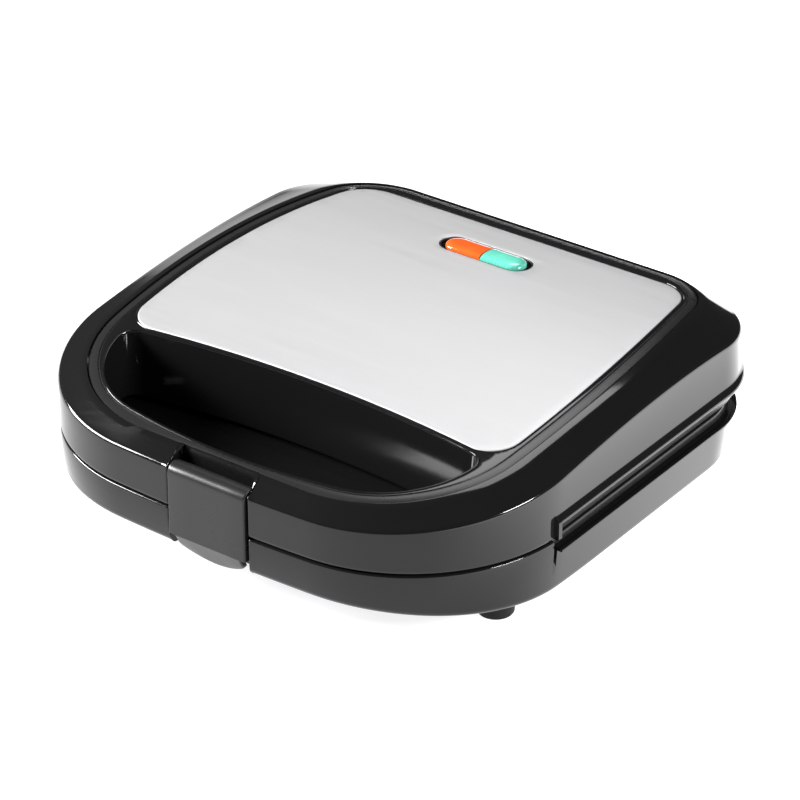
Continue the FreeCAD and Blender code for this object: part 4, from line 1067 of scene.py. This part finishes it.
def latch_section(z):
    half = latch_high[0]
    front, back = LATCH_FACE, LATCH_FACE + LATCH_THICK
    if z < LATCH_FOOT:
        part = (LATCH_FOOT - z) / (LATCH_FOOT - TAB_LOW)
        half = math.sqrt(max(TAB_ROUND ** 2 - (TAB_LOW + TAB_ROUND - z) ** 2, 0.4)) + 0.3
        half = min(half, TAB_HALF)
        front += TAB_TUCK * part
        back += (TAB_TUCK - TAB_THINNING) * part
    if z > PIN_Z - BARREL:
        reach = math.sqrt(max(BARREL ** 2 - (z - PIN_Z) ** 2, 0.0))
        back = max(back, PIN_Y + reach)
    if z > PIN_Z:
        front += BARREL - math.sqrt(max(BARREL ** 2 - (z - PIN_Z) ** 2, 0.0))
    return slab_section(half, front, max(back, front + 0.3), 0.75)


def make_latch():
    skin = Skin()
    tab = [TAB_LOW + 0.02 + (LATCH_FOOT - 0.05 - TAB_LOW) * (i / 10) ** 1.6 for i in range(11)]
    plate = [LATCH_FOOT, LATCH_FOOT + 0.25, 24.0, 30.0, 36.0, 41.0, PIN_Z - BARREL - 0.02]
    top = [PIN_Z - BARREL * math.cos(math.radians(a)) for a in range(4, 177, 8)]
    skin.solid([skin.ring(latch_section(z), z) for z in tab + plate + top])
    hook = []
    for inset, z in HOOK_PROFILE:
        section = slab_section(HOOK_HALF - inset, LATCH_FACE + LATCH_THICK - 1.2, HOOK_Y - inset, 0.5)
        hook.append(skin.ring(section, z))
    skin.solid(hook)
    return skin.build("latch_strip", (SATIN,), 32.0)


register(make_latch(), "latch", "black_satin", "latch_clip")

# %% [markdown]
# ## Hinges and feet
# The hinge knuckles are D-shaped blocks round the line of a steel pin. The feet are short rubber cones
# with a soft lower edge, as if turned on a lathe.

# %% Small moulded pieces
HINGE_X, HINGE_Y, HINGE_Z = [(a + b) / 2 for a, b in zip(pin_low, pin_high)]
KNUCKLE_RADIUS = 4.5
KNUCKLE_CHAMFER = 0.5
LID_KNUCKLE_HALF = 6.0
BASE_KNUCKLE_WIDTH = 7.0
BASE_KNUCKLE_STARTS = {"inner": 6.3, "outer": -13.3}
LID_ARM = {
    "turn": (-math.pi, 0.0),
    "points": [(HINGE_Y + 3.0, 32.0), (LID_REAR - 2.2, 38.0), (HINGE_Y - 3.0, 38.0),
               (HINGE_Y - 3.0, 30.0)],
}
BASE_ARM = {
    "turn": (-math.pi / 2, math.pi / 2),
    "points": [(BASE_REAR - 3.0, HINGE_Z + KNUCKLE_RADIUS), (BASE_REAR - 3.0, HINGE_Z - KNUCKLE_RADIUS)],
}


def lathe(name, profile, centre, material, count=40):
    """Turns (radius, z) pairs about a vertical line through centre."""
    skin = Skin()
    turn = np.linspace(0, 2 * math.pi, count, endpoint=False)
    rings = []
    for radius, z in profile:
        xy = np.stack([centre[0] + radius * np.cos(turn), centre[1] + radius * np.sin(turn)], 1)
        rings.append(skin.ring(xy, z))
    skin.solid(rings)
    return skin.build(name, (material,), 35.0)


def knuckle(name, low, high, arm, body):
    """A hinge block across X: a round barrel with a square arm towards the casing."""
    side = [(HINGE_Y + KNUCKLE_RADIUS * math.cos(a), HINGE_Z + KNUCKLE_RADIUS * math.sin(a))
            for a in np.linspace(*arm["turn"], 25)]
    outline = side + arm["points"]
    chamfer = KNUCKLE_CHAMFER
    shape = bmesh.new()
    rows = []
    for x, inset in ((low, chamfer), (low + chamfer, 0.0), (high - chamfer, 0.0), (high, chamfer)):
        scale = 1 - inset / KNUCKLE_RADIUS
        row = [shape.verts.new(Vector((
            x, HINGE_Y + (y - HINGE_Y) * scale, HINGE_Z + (z - HINGE_Z) * scale
        )) * MM) for y, z in outline]
        rows.append(row)
    for first, second in zip(rows, rows[1:]):
        for i in range(len(outline)):
            j = (i + 1) % len(outline)
            shape.faces.new((first[i], first[j], second[j], second[i]))
    shape.faces.new(rows[0])
    shape.faces.new(rows[-1][::-1])
    mesh = bpy.data.meshes.new(name)
    shape.to_mesh(mesh)
    shape.free()
    register(finish_mesh(name, mesh, (PIANO,), 30.0), body, "black_shell")


def make_hinges():
    for side, sign in (("left", -1), ("right", 1)):
        x = HINGE_X * sign
        knuckle(f"lid_knuckle_{side}", x - LID_KNUCKLE_HALF, x + LID_KNUCKLE_HALF, LID_ARM, "lid")
        for end, low in BASE_KNUCKLE_STARTS.items():
            start = x + low
            knuckle(f"base_knuckle_{side}_{end}", start, start + BASE_KNUCKLE_WIDTH, BASE_ARM, "base")


def rubber():
    finish = Finish("foot_rubber", IOR=1.4, Specular_IOR_Level=0.25)
    speckle = finish.noise(700.0, detail=3.0)
    tone = finish.mix(speckle, grey(0.006), grey(0.014))
    return finish.vary(
        Base_Color=tone, Roughness=0.55 + speckle * 0.2, Normal=finish.bump(speckle, 0.3, 0.0001)
    )


RUBBER = rubber()


def make_feet():
    for end in ("front", "rear"):
        for side in ("left", "right"):
            node = f"rubber_foot_{end}_{side}"
            low, high = corner_mm(node)
            centre = ((low[0] + high[0]) / 2, (low[1] + high[1]) / 2)
            radius = (high[0] - low[0]) / 2
            top = keel(centre[1]) + 1.0
            profile = [(radius - 1.6, 0.0), (radius - 0.8, 0.25), (radius - 0.35, 0.9), (radius, top)]
            foot = lathe(f"foot_{end}_{side}", profile, centre, RUBBER)
            register(foot, "base", "foot_rubber", node)


make_hinges()
make_feet()

# %% [markdown]
# ## Finishes of the parts inside
# The castings carry a dark non-stick coating with a faint sparkle. Sheet metal, screws, the
# heater's sheath, nylon and the glass sleeve each get their own grain and roughness, because
# they show when the lid is open or the model is taken apart.

# %% Materials for the carried CAD nodes
def nonstick():
    finish = Finish("nonstick_coating", IOR=1.45, Specular_IOR_Level=0.45)
    pebble = finish.noise(1100.0, detail=3.0)
    flakes = finish.noise(2600.0, detail=1.0) > 0.68
    tone = finish.mix(flakes, grey(0.022), grey(0.07))
    return finish.vary(
        Base_Color=tone,
        Roughness=0.34 + pebble * 0.14,
        Normal=finish.bump(pebble, 0.18, 0.0001),
    )


def plated(name, dark, light, roughness, stretch, scale):
    finish = Finish(name, Metallic=1.0)
    grain = finish.noise(scale, stretch, 4.0)
    tone = finish.mix(grain, dark, light)
    return finish.vary(
        Base_Color=tone,
        Roughness=roughness + grain * 0.15,
        Normal=finish.bump(grain, 0.08, 0.0001),
    )


def nylon():
    finish = Finish("natural_nylon", Subsurface_Weight=0.1)
    cloud = finish.noise(50.0)
    tone = finish.mix(cloud, (0.66, 0.63, 0.55, 1), (0.76, 0.74, 0.68, 1))
    return finish.vary(Base_Color=tone, Roughness=0.42 + cloud * 0.1)


def glass_sleeve():
    finish = Finish("woven_glass_sleeve")
    weave = finish.node(
        "ShaderNodeTexWave", {"bands_direction": "DIAGONAL"}, {"Vector": finish.place(), "Scale": 320.0}
    ).out("Fac")
    tone = finish.mix(weave, (0.55, 0.50, 0.38, 1), (0.82, 0.78, 0.68, 1))
    return finish.vary(
        Base_Color=tone, Roughness=0.7 + weave * 0.1, Normal=finish.bump(weave, 0.4, 0.0002)
    )


def neon_glass():
    finish = Finish("neon_glass", IOR=1.45, Alpha=0.5)
    cloud = finish.noise(80.0)
    tone = finish.mix(cloud, (0.8, 0.72, 0.66, 1), (0.95, 0.92, 0.9, 1))
    return finish.vary(Base_Color=tone, Roughness=0.05 + cloud * 0.05)


CARRIED = {
    "nonstick_casting": nonstick(),
    "screw_steel": plated("zinc_plate", grey(0.42), grey(0.6), 0.25, (1, 1, 1), 600.0),
    "heater_sheath": plated(
        "heater_sheath", (0.16, 0.14, 0.13, 1), (0.34, 0.31, 0.28, 1), 0.35, (6, 1, 1), 80.0
    ),
    "sheet_aluminium": plated("sheet_aluminium", grey(0.6), grey(0.74), 0.28, (0.1, 1, 1), 400.0),
    "white_nylon": nylon(),
    "glass_sleeve": glass_sleeve(),
    "lamp_glass": neon_glass(),
    "black_matt": MOULDED,
    "black_shell": PIANO,
    "black_satin": SATIN,
}


def dress_nodes():
    slots = {row["node"]: row["material_slot"] for row in frame["record"]["subparts"]}
    for name, thing in frame["nodes"].items():
        if thing.hide_render:
            continue
        material = CARRIED[slots[name]]
        thing.data.materials.clear()
        thing.data.materials.append(material)
        print("dressed", name, "in", material.name)


dress_nodes()

# %% [markdown]
# ## Studio
# A pale floor, a broad soft box high behind the appliance to wash the steel, and low boxes at
# the sides that glossy walls and rounded edges can mirror. The room itself stays dim, so that
# the polished top reads black.

# %% Floor, lights and camera
FLOOR_GLOW = 3.3
FLOOR_NEAR = 0.26
FLOOR_FAR = 1.0
FLOOR_RAMP = 0.22
FLOOR_REACH = 6.0
ROOM_GLOW = 0.045
CAMERA_AZIMUTH = 36.31
CAMERA_ELEVATION = 29.903
CAMERA_TARGET = (17.38, -13.2, 45.0)
CAMERA_DISTANCE = 1.5
CAMERA_LENS = 164.9


def soft_box(name, direction, distance, size, power, along=(0.0, 0.0, 1.0), aim=(0.0, 0.0, 0.05)):
    """A rectangular light that looks at the appliance; its long side lies along a direction."""
    lamp = bpy.data.lights.new(name, "AREA")
    lamp.shape = "RECTANGLE"
    lamp.size, lamp.size_y = size
    lamp.energy = power
    thing = put(name, lamp)
    away = Vector(direction).normalized()
    side = Vector(along)
    side = (side - away * side.dot(away)).normalized()
    turn = Matrix((side, away.cross(side), away)).transposed()
    thing.location = Vector(aim) + away * distance
    thing.rotation_euler = turn.to_euler()


def pale_floor():
    """A self-lit sweep whose glow is painted light, brightest behind and to the right, where glossy side
    walls mirror it.
    """
    finish = Finish("pale_floor", Specular_IOR_Level=0.0, Emission_Strength=FLOOR_GLOW)
    position = finish.node("ShaderNodeTexCoord").out("Object")
    parts = finish.node("ShaderNodeSeparateXYZ", {}, {"Vector": position})
    lean = parts.out("X") * 0.75 + parts.out("Y") * 0.66
    sockets = {"Value": lean, "From Min": 0.0, "From Max": FLOOR_RAMP}
    ramp = finish.node("ShaderNodeMapRange", {"interpolation_type": "SMOOTHSTEP"}, sockets).out("Result")
    # The glow is painted light: dim near the front, brightest behind and to the right.
    glow = finish.mix(ramp, grey(FLOOR_NEAR), grey(FLOOR_FAR))
    tone = finish.mix(finish.noise(3.0), grey(0.30), grey(0.32))
    material = finish.vary(
        Base_Color=tone, Roughness=0.8 + finish.noise(20.0) * 0.05, Emission_Color=glow
    )
    mesh = bpy.data.meshes.new("floor")
    corners = [(x * FLOOR_REACH, y * FLOOR_REACH, 0) for x, y in ((-1, -1), (1, -1), (1, 1), (-1, 1))]
    mesh.from_pydata(corners, [], [(0, 1, 2, 3)])
    mesh.materials.append(material)
    put("floor", mesh)


def set_room(level):
    world = bpy.data.worlds.new("room")
    world.use_nodes = True
    backdrop = world.node_tree.nodes["Background"]
    backdrop.inputs["Color"].default_value = grey(level)
    bpy.context.scene.world = world


def set_camera():
    """A long lens, a metre and a half away."""
    azimuth, elevation = math.radians(CAMERA_AZIMUTH), math.radians(CAMERA_ELEVATION)
    back = Vector((
        math.sin(azimuth) * math.cos(elevation),
        -math.cos(azimuth) * math.cos(elevation),
        math.sin(elevation),
    ))
    target = Vector(CAMERA_TARGET) * MM
    lens = bpy.data.cameras.new("camera")
    lens.lens = CAMERA_LENS
    lens.sensor_width = 36.0
    thing = put("camera", lens)
    thing.location = target + back * CAMERA_DISTANCE
    thing.rotation_euler = back.to_track_quat("Z", "Y").to_euler()
    bpy.context.scene.camera = thing


bpy.context.scene.view_settings.view_transform = "Standard"
pale_floor()
set_room(ROOM_GLOW)
set_camera()
soft_box("overhead_box", (-0.2, 0.5, 0.84), 1.6, (0.75, 0.75), 9.0, (1.0, 0.0, 0.0))
soft_box("left_box", (-0.82, -0.42, 0.39), 1.3, (0.85, 0.4), 70.0, (-0.35, 0.45, -0.25))
soft_box("right_box", (0.91, 0.06, 0.4), 1.6, (0.5, 0.2), 30.0, (-0.06, 0.91, 0.0))
